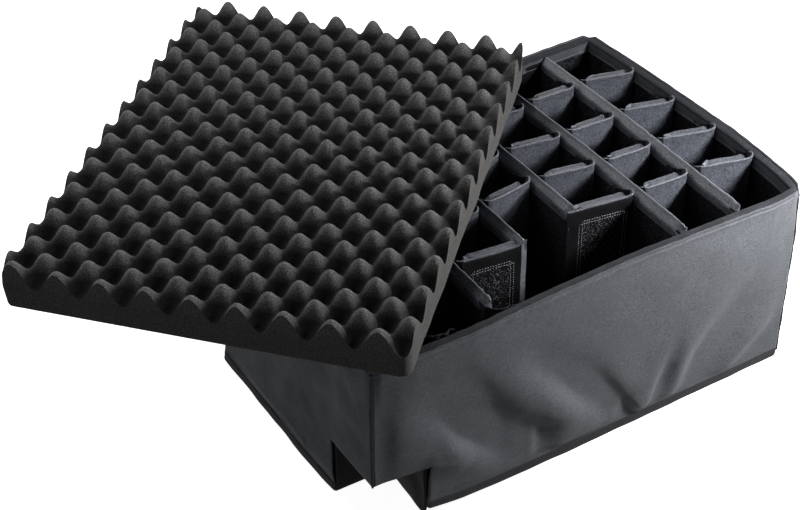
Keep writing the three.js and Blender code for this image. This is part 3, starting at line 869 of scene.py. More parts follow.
def well_edges(inset):
    """Where the wheel wells' cut-outs end: along the tray, and across it near and far."""
    return (
        -HALF_LENGTH + WELL_LENGTH + inset,
        -HALF_WIDTH + WELL_NEAR_DEPTH + inset,
        HALF_WIDTH - WELL_FAR_DEPTH - inset,
    )


def layer_profile(outer, inner, low, high, step):
    """A flat layer's closed profile: distance in from the wall's outer face, and height."""
    middle, half = (outer + inner) / 2, (inner - outer) / 2
    soft = min(half, 2.0)
    side = [(half, low + soft + t) for t in np.arange(0, high - low - 2 * soft, step)]
    right = [(half * 0.45, low), (half * 0.9, low + soft * 0.4), *side, (half, high - soft)]
    right += [(half * 0.85, high - soft * 0.35), (half * 0.4, high)]
    return mirrored(right) + (middle, 0)


def wall_spans(name, start, end, low):
    """(from, to, foot) of a wall's stretches, whose feet stand on the wheel wells where they are."""
    well_foot = WELL_TOP + 1
    along, near, far = well_edges(WELL_OUTER + WELL_GAP)
    if name == "right":
        return [(start, end, low)]
    if name == "left":
        return [(start, near, well_foot), (near, far, low), (far, end, well_foot)]
    return [(start, along, well_foot), (along, end, low)]


def wall_layer(name, outer, inner, low, high, step_along, step_up, seed, rough):
    """One layer of a wall, from its distances in from the outer face."""
    line, inward = WALL_LINES[name]
    long_way = 0 if name in ("front", "back") else 1
    parts = []
    for from_at, to_at, foot in wall_spans(name, line[0][long_way], line[1][long_way], low):
        points = np.array(line, float)
        points[:, long_way] = from_at, to_at
        path, _ = even_line(points, step_along)
        side = np.repeat([inward], len(path), 0).astype(float)
        rings = carried(path, side, layer_profile(outer, inner, foot, high, step_up))
        rings[..., :2] += (rough * ripple(rings, 35, seed))[..., None] * np.array(inward)
        parts.append(loft(slumped(rings)))
    return joined(*parts)


pad_outer, pad_inner = BOARD_INSET + PAD_GAP, BOARD_INSET + WALL_BOARD - PAD_GAP
for place, wall in enumerate(WALL_LINES):
    part = wall_layer(
        wall, pad_outer, pad_inner, WALL_FOOT, BOARD_TOP, step_along=12, step_up=12, seed=61, rough=0.0
    )
    pad = make(wall + "_wall_pad", part, [board_foam], "tray", [wall + "_board"])
    part = wall_layer(
        wall, LINING_INSET, WALL_THICKNESS, WALL_FOOT, LINING_TOP + LINING_TUCK,
        step_along=7, step_up=9, seed=71 + place, rough=0.35,
    )
    lining = make(wall + "_loop_lining", part, [black_loop], "tray", [wall + "_lining"])
    length = TRAY_LENGTH - 20 if wall in ("front", "back") else 2 * END_WALL


# The sewn seams up the corners, which start above the wheel wells or the bottom tape
SEAM_INSET, SEAM_RADIUS, SEAM_SIDES, SEAM_LEVELS = 0.4, 1.5, 12, 40
for corner, sign_x, sign_y, low in (
    ("front_left", -1, -1, WELL_HEIGHT - 1),
    ("front_right", 1, -1, TAPE_HEIGHT - 3),
    ("back_right", 1, 1, TAPE_HEIGHT - 3),
    ("back_left", -1, 1, WELL_HEIGHT - 1),
):
    levels = np.linspace(low, TRAY_HEIGHT - 4, SEAM_LEVELS)
    turn = np.linspace(0, 2 * np.pi, SEAM_SIDES, endpoint=False) + np.pi / SEAM_SIDES
    turn = turn[np.arange(5, 5 - SEAM_SIDES, -1)]
    wide = SEAM_RADIUS + 0.25 * np.sin(levels / 7)
    rings = np.empty((SEAM_LEVELS, SEAM_SIDES, 3))
    rings[..., 0] = sign_x * (HALF_LENGTH - SEAM_INSET) + np.cos(turn)[None] * wide[:, None]
    rings[..., 1] = sign_y * (HALF_WIDTH - SEAM_INSET) + np.sin(turn)[None] * wide[:, None]
    rings[..., 2] = levels[:, None]
    make(
        "corner_seam_" + corner + "_tape", loft(slumped(rings)), [seam_tape], "tray",
        ["corner_seam_" + corner],
    )

# ---------------------------------------------------------------- rim, base tape, floor


def rounded_line(corners, radii, step):
    """A closed plan line through corners, each rounded by its radius, and its inward directions."""
    points = []
    for k, radius in enumerate(radii):
        here, before, after = (np.array(corners[(k + d) % len(corners)], float) for d in (0, -1, 1))
        to_before = (before - here) / np.linalg.norm(before - here)
        to_after = (after - here) / np.linalg.norm(after - here)
        centre = here + (to_before + to_after) * radius
        for turn in np.linspace(0, 1, 7) * math.pi / 2:
            points.append(centre - (to_after * math.cos(turn) + to_before * math.sin(turn)) * radius)
    line = looped(np.array(points))
    gone = run_of(line)
    at = [gone[:-1]]
    for a, b in zip(gone[:-1], gone[1:]):
        if b - a > step * 1.5:
            at.append(np.linspace(a, b, int(round((b - a) / step)) + 1)[1:-1])
    at = np.sort(np.concatenate(at))
    fine = np.stack([np.interp(at, gone, line[:, k]) for k in range(2)], axis=1)
    return fine, sideways(np.roll(fine, -1, 0) - np.roll(fine, 1, 0))


# The turned rim from its outer foot: a rolled hem, a piped edge, a woven band and the inner hem
RIM_PROFILE = np.array(
    [
        (0.3, 241.2), (-0.8, 241.4), (-1.7, 242.2), (-2.0, 243.2), (-1.6, 244.2), (-0.7, 244.8),
        (-0.1, 245.8), (-0.2, 247.0), (-0.9, 248.0), (-1.0, 249.1), (-0.3, 250.0), (0.8, 250.1),
        (1.6, 249.4), (1.9, 248.3), (3.4, 248.3), (5.2, 248.4), (7.2, 248.3), (9.2, 248.0),
        (10.6, 247.6), (11.5, 246.6), (11.9, 245.0), (12.0, 242.5), (11.8, 239.5), (11.7, 236.0),
        (11.9, 232.4), (11.6, 231.2), (11.0, 230.6), (10.2, 231.2), (9.8, 235.0), (7.8, 239.0),
        (4.0, 240.4),
    ]
)
RIM_BAND = range(13, 20)
RIM_CORNER_RADIUS = 2.0
rim_corners = [(x * HALF_LENGTH, y * HALF_WIDTH) for x, y in ((-1, -1), (1, -1), (1, 1), (-1, 1))]
rim_path, rim_side = rounded_line(rim_corners, [RIM_CORNER_RADIUS] * 4, 3.2)
rim_rings = carried(rim_path, rim_side, RIM_PROFILE)
rim_rings[..., 2] += 0.2 * ripple(rim_rings[..., :2], 22, 81) * (rim_rings[..., 2] > 240)
rim_wander = 0.22 * ripple(rim_rings, 16, 82)
rim_rings[..., :2] += rim_side[:, None] * rim_wander[..., None]
rim_which = np.tile(np.isin(np.arange(len(RIM_PROFILE)), RIM_BAND), len(rim_path))
rim = make(
    "turned_rim_cloth", loft(slumped(rim_rings), True), [rim_nylon, band_nylon], "tray", ["rim_binding"],
    which=rim_which, crease_degrees=75,
)


# The tape bound round the bottom edge, from its outer top down and under the floor
TAPE_PROFILE = np.array(
    [
        (0.0, 12.0), (-0.7, 12.3), (-1.3, 11.6), (-1.5, 9.0), (-1.5, 6.0), (-1.6, 3.0),
        (-1.3, 1.0), (-0.5, 0.1), (1.2, -0.3), (4.0, -0.4), (8.0, -0.3), (8.4, 0.3),
        (4.0, 0.5), (1.2, 1.2), (0.2, 3.0), (0.0, 7.0),
    ]
)
well_x, near_y, far_y = well_edges(0)
footprint = [
    (well_x, -HALF_WIDTH), (HALF_LENGTH, -HALF_WIDTH), (HALF_LENGTH, HALF_WIDTH), (well_x, HALF_WIDTH),
    (well_x, far_y), (-HALF_LENGTH, far_y), (-HALF_LENGTH, near_y), (well_x, near_y),
]
tape_path, tape_side = rounded_line(footprint, [4, 5, 5, 4, 3, 3, 3, 3], 4.0)
tape_rings = carried(tape_path, tape_side, TAPE_PROFILE)
tape_wander = 0.35 * ripple(tape_rings, 30, 91)
tape_rings[..., :2] += tape_side[:, None] * tape_wander[..., None]
tape_rings[..., 2] += (0.4 * ripple(tape_rings[..., :2], 60, 92) + 0.4) * (tape_rings[..., 2] > 4)
make(
    "base_edge_tape", loft(slumped(tape_rings), True), [edge_tape], "tray", ["base_binding"]
)


def floor_layer(name, inset, well_inset, low, high, finish, node, seed, rough):
    """A layer of the floor in three blocks round the wheel wells, all one mesh, with its flat size and
    its area in metres."""
    well_x, near_y, far_y = well_edges(well_inset)
    end_x, end_y = HALF_LENGTH - inset, HALF_WIDTH - inset
    xs = np.concatenate([np.linspace(-end_x, well_x, 13), np.linspace(well_x, end_x, 82)[1:]])
    spans = [(-end_y, near_y, 17), (near_y, far_y, 46), (far_y, end_y, 11)]
    ys = np.concatenate([[-end_y], *(np.linspace(*span)[1:] for span in spans)])
    x, y = np.meshgrid(xs, ys, indexing="ij")
    bump = rough * ripple(np.stack([x, y], axis=-1), 40, seed)
    middle_x, middle_y = (x[:-1, :-1] + x[1:, 1:]) / 2, (y[:-1, :-1] + y[1:, 1:]) / 2
    keep = ~((middle_x < well_x) & ((middle_y < near_y) | (middle_y > far_y)))
    points = slumped(np.stack([x, y, np.full_like(x, high) + bump], axis=-1))
    piece = make(name, grid(points, keep), [finish], "tray", [node], facing=(0, 0, 1))
    flat = ((xs[-1] - xs[0]) * MM, (ys[-1] - ys[0]) * MM)
    return thicken(piece, high - low), flat, keep.mean() * flat[0] * flat[1]


UNDERSIDE_INSET, FLOOR_INSET, FLOOR_PAD_INSET = 1.4, 0.4, BOARD_INSET + 0.4
underside = floor_layer(
    "underside_cloth", UNDERSIDE_INSET, UNDERSIDE_INSET, 0.0, COVER_CLOTH,
    dark_nylon, "base_cover", 101, 0.0,
)
floor_lining = floor_layer(
    "floor_loop_lining", WALL_THICKNESS + FLOOR_INSET, WELL_OUTER + FLOOR_INSET,
    FLOOR_TOP - FLOOR_CLOTH, FLOOR_TOP, black_loop, "floor_lining", 101, 0.1,
)
floor_pad = floor_layer(
    "floor_pad", FLOOR_PAD_INSET, FLOOR_PAD_INSET, BOARD_INSET, PAD_TOP,
    board_foam, "floor_board", 103, 0.0,
)[0]

# ---------------------------------------------------------------- wheel wells

WELL_RADIUS, WELL_FOOT = 8.0, 3.0


def wheel_well(depth, at_back):
    """A padded box corner: a wall round two sides of the cut-out, and a top panel."""
    sign = 1 if at_back else -1
    corner_x = -HALF_LENGTH + WELL_LENGTH + BOARD_INSET
    corner_y = sign * (HALF_WIDTH - depth - BOARD_INSET)
    turns = np.linspace(0, 1, 7) * math.pi / 2
    points = [(-HALF_LENGTH + BOARD_INSET, corner_y), (corner_x - WELL_RADIUS, corner_y)]
    points += [
        (corner_x - WELL_RADIUS * (1 - math.sin(turn)), corner_y + sign * WELL_RADIUS * (1 - math.cos(turn)))
        for turn in turns
    ]
    points += [(corner_x, sign * (HALF_WIDTH - BOARD_INSET))]
    path, side = even_line(points, 4.0)
    side = sign * side
    rings = carried(path, side, layer_profile(0.0, WELL_PANEL, WELL_FOOT, WELL_TOP - 0.6, 7.0))
    belly = 0.8 * np.sin(np.pi * np.clip((rings[..., 2] - WELL_FOOT) / (WELL_TOP - WELL_FOOT), 0, 1))
    rings[..., :2] += side[:, None] * (belly + 0.4 * ripple(rings, 28, 111))[..., None]
    xs = np.linspace(-HALF_LENGTH + BOARD_INSET, corner_x + 3, 20)
    ys = np.linspace(sign * (HALF_WIDTH - BOARD_INSET), corner_y - sign * 3, 22)
    x, y = np.meshgrid(xs, ys, indexing="ij")
    share_x, share_y = (x - xs[0]) / (xs[-1] - xs[0]), (y - ys[0]) / (ys[-1] - ys[0])
    crown = 0.8 * np.sin(np.pi * share_x) * np.sin(np.pi * share_y)
    top = np.stack([x, y, WELL_TOP - 0.4 + crown], axis=-1)
    low = np.stack([x, y, WELL_HEIGHT + 0.4 - crown * 0.5], axis=-1)
    shell = np.concatenate([top, low[:, ::-1]], axis=1)
    return joined(loft(slumped(rings)), loft(slumped(shell)))


for well, depth, at_back in (("near", WELL_NEAR_DEPTH, False), ("far", WELL_FAR_DEPTH, True)):
    part = wheel_well(depth, at_back)
    piece = make(well + "_wheel_well_pad", part, [dark_nylon], "tray", ["wheel_well_" + well])

# ---------------------------------------------------------------- dividers

HALF_DIVIDER = DIVIDER_THICKNESS / 2
BAY_WIDTH = (TRAY_LENGTH - (WELL_LENGTH + WELL_OUTER + 1.5 + HALF_DIVIDER)) / (BAY_COUNT - 1)
INNER_BACK = HALF_WIDTH - WALL_THICKNESS


def long_x(number):
    """The middle of a long divider, counted from the right wall."""
    return HALF_LENGTH - BAY_WIDTH * number


# How far the top of each long divider leans to the right at its front and back end, from the right wall
DIVIDER_LEANS = [(1.0, -2.0), (6.5, -3.0), (0.5, -3.0), (0.5, -2.0), (-5.0, -6.0), (-5.5, -5.5)]


def leaning(points):
    """Moves the dividers' points as their tops lean: with the right wall, and each by its own slack."""
    x, y, z = points[..., 0], points[..., 1], points[..., 2]
    wall = HALF_LENGTH - WALL_THICKNESS
    places = [-HALF_LENGTH, *(long_x(number) for number in range(BAY_COUNT - 1, 0, -1)), wall]
    near, far = zip((0.0, 0.0), *DIVIDER_LEANS[::-1], (0.0, 0.0))
    back = np.clip((y + HALF_WIDTH) / TRAY_WIDTH, 0, 1)
    high = np.clip((z - DIVIDER_LOW) / (DIVIDER_TOP - DIVIDER_LOW), 0, 1.02)
    own = (np.interp(x, places, near) * (1 - back) + np.interp(x, places, far) * back) * high**2
    with_wall = np.interp(x, [long_x(1), wall], [0, 1]) * right_lean(y, z)
    moved = points.copy()
    moved[..., 0] += own + with_wall
    return moved


def bay_sides(bay):
    """The left and right faces that a bay lies between."""
    right = HALF_LENGTH - WALL_THICKNESS if bay == 1 else long_x(bay - 1) - HALF_DIVIDER
    left = -HALF_LENGTH + WALL_THICKNESS if bay == BAY_COUNT else long_x(bay) + HALF_DIVIDER
    return left, right


def row_y(bay, row):
    """Where a short divider stands across the tray. The last bay ends at the near wheel well."""
    depth = 2 * INNER_BACK if bay < BAY_COUNT else INNER_BACK + HALF_WIDTH - WELL_NEAR_DEPTH - WELL_OUTER
    return INNER_BACK - depth * BAY_ROW_SHARES[bay - 1][row - 1]


def skew_of(bay):
    """How far back the right end of a bay's short dividers is from their left end."""
    left, right = bay_sides(bay)
    return (right - left) * BAY_SKEW_SHARES[bay - 1]


# How far below its top a divider's edge is sewn, the border of a closing divider's panel, how much
# shorter a short core is than its face, and how far its top hangs out over its back
STITCH_DROP = 17.0
PANEL_BORDER, CORE_SHORT, TOP_OVERHANG = 8.0, 6.5, 2.4

# Which faces round a core's outline are the folded ridges along its top edges, which get the lighter cloth of
# a painted highlight
CORE_RIDGE = [25, 26, 27, 28]
CORE_BACK_RIDGE = [36, 37]

# The rows of stitches on a long divider: its side, how far below the top, and how far further out
LONG_SEAM_ROWS = [(1, 16.6, 0.0), (1, 13.4, 0.1), (1, 10.2, -0.35), (-1, 16.6, 0.0), (-1, 13.4, 0.4)]

# Tops of the long dividers' flaps, and how far each flap's tip droops at its start and its end
LONG_FLAP_TOP, LOOSE_FLAP_TOP, LONG_DROOPS = 241.0, 244.0, (0.0, 2.5)
SHORT_DROOPS = (9.0, 10.0)

# Finishes of a core's faces; the ridge finish is the lighter cloth of a painted highlight
CORE_TOP, CORE_SIDE, CORE_RIDGE_HIGHLIGHT = range(3)
# Finishes of a short face; EDGE is the lighter cloth of a painted highlight
FACE, FLAP, BORDER, EDGE, PANEL = range(5)
# PANEL is loop cloth whose paler specks are painted glints
FACE_FINISHES = [divider_nylon, black_loop, border_nylon, ridge_highlight_nylon, pale_speck_loop]


def core_profile(half, top, crown, slope=0.0, overhang=0.0):
    """A padded core's closed outline: soft sides drawn in at the stitched hem, and a ridge along each
    top edge where the cloth is folded. slope drops the top towards the side that the profile calls
    right, and overhang stuffs the top out over that side."""
    low, hem = DIVIDER_LOW, top - STITCH_DROP
    sides = [
        (half + crown * math.sin(math.pi * share) - 0.2, low + 3 + share * (hem - 5 - low - 3))
        for share in np.linspace(0.03, 0.97, 16)
    ]
    foot = [(half - 2.2, low), (half - 0.8, low + 0.7), (half - 0.2, low + 2.4)]
    hemmed = [(half - 0.3, hem - 2.0), (half - 0.9, hem), (half - 0.2, hem + 1.8), (half + 0.1, hem + 4.5)]
    folded = [
        (half + 0.2, top - 6.5), (half + 0.15, top - 3.6), (half + 0.2, top - 1.9), (half - 0.05, top - 0.7),
        (half - 0.7, top - 0.05), (half - 1.4, top + 0.05), (half - 2.1, top - 0.45),
        (half - 3.0, top - 0.85), (half * 0.14, top - 1.0),
    ]
    profile = mirrored(foot + sides + hemmed + folded)
    across, up = profile.T
    to_right = across / half
    up -= slope * ((to_right + 1) / 2 + 0.2 * smooth(to_right)) * smooth((up - top + 13) / 9)
    drawn_in = 0.24 * slope * smooth((up - hem - 2) / (STITCH_DROP - 2))
    across -= drawn_in * (across > half * 0.6)
    across += overhang * smooth((up - top + 15) / 9) * smooth(across / half)
    return profile


def end_squeeze(path, reach, least):
    """Narrows a core near its ends, as a stuffed end is."""
    gone = run_of(path)
    share = np.ones(len(path))
    for far in (gone, gone[-1] - gone):
        t = np.clip(far / reach, 0, 1)
        share *= least + (1 - least) * np.sqrt(1 - (1 - t) ** 2)
    return share


def wrinkled(rings, side, seed, amount, top):
    """Small creases, strongest along the top cloth."""
    high = smooth((rings[..., 2] - (top - 40)) / 40)
    creases = ripple(rings * (1, 1, 0.35), 12, seed) * high + 0.6 * ripple(rings, 26, seed + 1)
    rings = rings.copy()
    rings[..., :2] += side[:, None] * (amount * creases)[..., None]
    upper = (rings[..., 2] > top - 5) * ripple(rings[..., :2], 14, seed + 2)
    rings[..., 2] += 0.9 * amount * upper
    return rings


def mark_ridge_highlight(which, rings, ridge):
    """Gives the faces along the folded edges of a core the lighter ridge cloth, a painted highlight."""
    on_ridge = np.tile(np.isin(np.arange(rings.shape[1]), ridge), len(rings) - 1)
    which[: len(on_ridge)][on_ridge] = CORE_RIDGE_HIGHLIGHT


def strip_profile(top):
    """The outline of cloth that stands on edge, with a hem along its top."""
    half = FLAP_CLOTH / 2
    side = [(half, z) for z in np.arange(DIVIDER_LOW + 1.0, top - 4, 8.0)]
    hem = [(half, top - 2.6), (half + 0.5, top - 1.7), (half + 0.5, top - 0.7), (half * 0.7, top)]
    return mirrored([(half * 0.6, DIVIDER_LOW), *side, *hem])


def flap_line(corner, towards, along, run, rise):
    """Plan points of cloth that leaves a core's corner, bends round and runs along its neighbour."""
    corner, towards, along = (np.array(v, float) for v in (corner, towards, along))
    turns = np.linspace(0, math.pi / 2, 9)
    bend = [corner + towards * run * math.sin(t) + along * rise * (1 - math.cos(t)) for t in turns]
    return bend + [corner + towards * run + along * FLAP_LENGTH]


seams = {}


def note_seam(body, line):
    seams.setdefault(body, []).append(np.array(line, float))


def flap_sheet(points, side_sign, top, seed, droops, curl):
    """A strip of cloth that stands on edge along a plan line, drooping and curling towards its tips, and
    how far along it each of its rings is."""
    path, side = even_line(points, 3.0)
    side = side * side_sign
    path = path + side * (FLAP_CLOTH / 2)
    gone = run_of(path)
    raised, tip = np.zeros(len(path)), np.zeros(len(path))
    for droop, far in zip(droops, (gone, gone[-1] - gone)):
        if droop:
            raised -= droop * smooth(1 - far / FLAP_LENGTH)
            tip = np.maximum(tip, smooth(1 - far / 30))
    rings = carried(path, side, strip_profile(top), raised=raised)
    wave = 0.35 * ripple(rings * (1, 1, 0.5), 22, seed)
    high = np.clip((rings[..., 2] - DIVIDER_LOW) / (top - DIVIDER_LOW), 0, 1)
    wave = wave + curl * tip[:, None] * ripple(rings * (1, 1, 0.2), 9, seed + 4) * high**4
    rings[..., :2] += side[:, None] * wave[..., None]
    return rings, gone


def long_ends(number, run):
    """Where a long divider's core starts and ends. Its near end is a flap's run off the front wall, or
    just behind the short divider that closes its bay."""
    far_end = INNER_BACK - SEAT_GAP - TIGHT_RUN
    if number not in (CLOSED_BY_LEFT_END, CLOSED_BY_RIGHT_END):
        return -INNER_BACK + SEAT_GAP + run, far_end
    bay, way = (number, -1) if number == CLOSED_BY_LEFT_END else (number + 1, 1)
    last_row = len(BAY_ROW_SHARES[bay - 1])
    return row_y(bay, last_row) + way * skew_of(bay) / 2 + FLAP_CLOTH + SEAT_GAP, far_end


def long_core(number, near_end, far_end):
    """A long divider's rings, its plan line with its sideways directions, and how its top rises."""
    y = np.linspace(near_end, far_end, 120)
    path, side = even_line(np.stack([long_x(number) + 0.7 * np.sin((y + 60 * number) / 70), y], axis=1), 3.0)
    raised = 0.6 * np.sin(path[:, 1] / 47 + number) - 0.8 * hill(path[:, 1] - near_end, 8) - 0.6
    profile = core_profile(HALF_DIVIDER, DIVIDER_TOP, 0.7, slope=7.0)
    rings = carried(path, side, profile, end_squeeze(path, 2.5, 0.82), raised)
    rings = wrinkled(rings, side, 200 + 10 * number, 0.2, DIVIDER_TOP)
    crumple = hill(rings[..., 1] - near_end, 16)[..., None] * (rings[..., 2:] > DIVIDER_TOP - 14)
    folds = np.stack([ripple(rings, 7, 300 + number)] * 2 + [ripple(rings, 6, 310 + number)], axis=-1)
    rings += crumple * folds * (0.8, 0.3, 1.2)
    if number == BAY_COUNT - 1:
        # The last one stands against the raised corner of the near wheel well
        notch = knots(NOTCH_LIFT, path[:, 1] + HALF_WIDTH)[:, None]
        rings[..., 2] += 0.55 * notch * np.clip(1 - (rings[..., 2] - DIVIDER_LOW) / 30, 0, 1)
    return leaning(rings), path, side, raised


def long_divider(number):
    """A long divider: a padded core, its stitches, and a flap at each end that isn't closed."""
    node = "long_divider_%d" % number
    body = "tray" if number in FIXED_LONGS else node
    loose = number in LOOSE_PAIR
    run, rise = (LOOSE_RUN, LOOSE_RISE) if loose else (TIGHT_RUN, FLAP_RISE)
    near_end, far_end = long_ends(number, run)
    rings, path, side, raised = long_core(number, near_end, far_end)
    part = loft(rings)
    level = part[0][part[1]][..., 2].mean(1)
    which = np.where(level > DIVIDER_TOP - STITCH_DROP - 0.5, CORE_TOP, CORE_SIDE)
    mark_ridge_highlight(which, rings, CORE_RIDGE)
    piece = make(
        node + "_core", part, [divider_nylon, black_loop, ridge_highlight_nylon], body, [node],
        which=which, crease_degrees=70,
    )
    for way, drop, out in LONG_SEAM_ROWS:
        seam = path + side * (way * (HALF_DIVIDER - 0.3 + out))
        seam = np.column_stack([seam, DIVIDER_TOP - drop + raised * 0.8])
        note_seam(body, leaning(seam[3:-3]))

    # The far flap turns left, or right on the last divider, and the near one right
    way = 1 if number == BAY_COUNT - 1 else -1
    x = long_x(number) - way * HALF_DIVIDER
    line = flap_line((x, far_end), (0, 1), (way, 0), TIGHT_RUN, FLAP_RISE)
    flaps = [("far", [(x + 0.2 * way, far_end - 8), *line], -way, LONG_FLAP_TOP, False)]
    if number not in (CLOSED_BY_LEFT_END, CLOSED_BY_RIGHT_END):
        x = long_x(number) - HALF_DIVIDER
        line = flap_line((x, near_end), (0, -1), (1, 0), run, rise)
        near_top = LOOSE_FLAP_TOP if loose else LONG_FLAP_TOP
        flaps.append(("near", [(x + 0.2, near_end + 8), *line], 1, near_top, loose))
    for end, line, sign, top, curls in flaps:
        rings, gone = flap_sheet(line, sign, top, 400 + number, LONG_DROOPS, 2.2 if curls else 0.4)
        cloth = black_loop if curls else border_nylon
        flap = make("%s_%s_flap" % (node, end), loft(leaning(rings)), [cloth], body, [node])


def short_core(node, start, end, top, seed, rng, closer, right_flat):
    """The padded core behind a short divider's face cloth, from the left end to the right."""
    length = np.linalg.norm(end - start)
    way = (end - start) / length
    rise = rng.uniform(-1.2, 1.2)
    half = (DIVIDER_THICKNESS - FLAP_CLOTH) / 2
    line = np.array([start, end if right_flat else end - way * CORE_SHORT])
    line += np.array([-way[1], way[0]]) * (FLAP_CLOTH + half)
    path, side = even_line(line, 2.2)
    bow = 0.4 + 0.8 * np.sin(np.linspace(0, np.pi, len(path))) * rng.uniform(0, 1)
    path = path + side * bow[:, None]
    from_start = np.linspace(0, length, len(path))
    from_end = from_start[::-1]
    raised = rise * (from_start / length - 0.5) - 2.4 * hill(from_start, 6) + 0.8 * hill(from_end, 6) - 0.9
    profile = core_profile(half, top, 0.9, overhang=TOP_OVERHANG)
    rings = carried(path, side, profile, end_squeeze(path, 3.0, 0.7), raised)
    rings = wrinkled(rings, side, seed, 0.16, top)
    crumple = (1.6 * hill(from_start, 8) + 0.4 * hill(from_end, 5) + 0.04)[:, None, None]
    folds = np.stack([ripple(rings, size, seed + k) for size, k in ((6, 5), (5, 6), (6, 7))], axis=-1)
    rings += crumple * smooth((rings[..., 2:] - top + 11) / 5) * folds * (0.8, 1.0, 1.2)
    part = loft(leaning(rings))
    level = part[0][part[1]][..., 2].mean(1)
    which = np.where(level > top - (3.5 if closer else STITCH_DROP), CORE_TOP, CORE_SIDE)
    mark_ridge_highlight(which, rings, CORE_BACK_RIDGE)
    # Painted highlight: the top of the core's crumpled left end gets the lighter ridge cloth
    ear = (np.arange(len(which)) < 3 * rings.shape[1]) & (level > top - 4)
    which[ear] = CORE_RIDGE_HIGHLIGHT
    piece = make(
        node + "_core", part, [divider_nylon, border_nylon, ridge_highlight_nylon], node, [node],
        which=which, crease_degrees=70,
    )


def short_face(node, start, end, top, seed, left_flat, right_flat):
    """The cloth over a short divider's face and top edge, whose ends are its flaps. A flat end runs on
    past the long divider that it closes, and such a face has a sewn panel of loop cloth with paler painted
    glints."""
    way = (end - start) / np.linalg.norm(end - start)
    past_end = way * (SEAT_GAP + DIVIDER_THICKNESS)
    line = [start - past_end] if left_flat else flap_line(start, (-1, 0), (0, 1), FLAP_RUN, FLAP_RISE)[::-1]
    line += [end + past_end] if right_flat else flap_line(end, (1, 0), (0, 1), TIGHT_RUN, FLAP_RISE * 0.6)
    droops = (0.0 if left_flat else SHORT_DROOPS[0], 0.0 if right_flat else SHORT_DROOPS[1])
    rings, gone = flap_sheet(line, 1, top + 1.3, seed + 8, droops, 0.8)
    corner = gone[-1] - (0 if right_flat else FLAP_LENGTH - 6)
    rings[..., 2] += 4.4 * hill(gone - corner, 7)[:, None] * smooth((rings[..., 2] - top + 20) / 20)
    part = loft(leaning(rings))
    along = np.resize(np.repeat(gone[:-1], rings.shape[1]), len(part[1]))
    tucked = (along < FLAP_LENGTH) & (not left_flat)
    tucked |= (along > gone[-1] - FLAP_LENGTH + 9) & (not right_flat)
    which = np.where(tucked, FLAP, FACE)
    if left_flat or right_flat:
        places = rings.reshape(-1, 3)[part[1]].mean(1)
        across = (places[:, :2] - (start + end) / 2) @ way
        reach = np.linalg.norm(end - start) / 2
        below_top = places[:, 2] < top - 3
        inside = (np.abs(across) < reach - PANEL_BORDER) & (places[:, 2] < top - STITCH_DROP)
        which = np.where(inside, PANEL, np.where(below_top & ~tucked, BORDER, which))
        # Painted highlight: the folded end of a closing face gets the lighter ridge cloth
        highlight_fold_edge = across > reach + 5.0 if right_flat else np.abs(across + reach - 4.5) < 1.4
        which[highlight_fold_edge & below_top] = EDGE
        centre = (start + end) / 2 - np.array([-way[1], way[0]]) * 0.25
        for border in (PANEL_BORDER, PANEL_BORDER - 3.5):
            shift = way * (reach - border)
            low, high = DIVIDER_LOW + 4, top - STITCH_DROP - PANEL_BORDER + border
            corners = [(*(centre + shift * k), z) for k, z in ((-1, low), (-1, high), (1, high), (1, low))]
            note_seam(node, leaning(np.array(corners)))
    # Painted highlight: the ridge along the face cloth's top edge gets the lighter ridge cloth
    ridge = np.abs(np.arange(rings.shape[1]) - rings.shape[1] // 2 + 0.5) < 1.1
    straight = (gone[:-1] > FLAP_LENGTH - 8) & (gone[:-1] < gone[-1] - FLAP_LENGTH)
    piped = (straight[:, None] & ridge).ravel()
    which[: len(piped)][piped] = EDGE
    sheet = make(node + "_face_cloth", part, FACE_FINISHES, node, [node], which=which)


def short_divider(bay, row):
    """A short divider across a bay. The last of two bays closes a long divider with one flat end."""
    left, right = bay_sides(bay)
    left, right = left + SEAT_GAP, right - SEAT_GAP
    last_row = row == len(BAY_ROW_SHARES[bay - 1])
    left_flat = last_row and bay == CLOSED_BY_LEFT_END
    right_flat = last_row and bay == CLOSED_BY_RIGHT_END + 1
    y, skew = row_y(bay, row), skew_of(bay)
    start = np.array([left if left_flat else left + FLAP_RUN, y - skew / 2])
    end = np.array([right if right_flat else right - TIGHT_RUN, y + skew / 2])
    node = "short_divider_%d_%d" % (bay, row)
    seed = 500 + 20 * bay + 4 * row
    rng = np.random.default_rng(seed)
    top = DIVIDER_TOP - rng.uniform(2.6, 3.8)
    short_core(node, start, end, top, seed, rng, left_flat or right_flat, right_flat)
    short_face(node, start, end, top, seed, left_flat, right_flat)


for number in range(1, BAY_COUNT):
    long_divider(number)
for bay in range(1, BAY_COUNT + 1):
    for row in range(1, len(BAY_ROW_SHARES[bay - 1]) + 1):
        short_divider(bay, row)

# ---------------------------------------------------------------- stitches


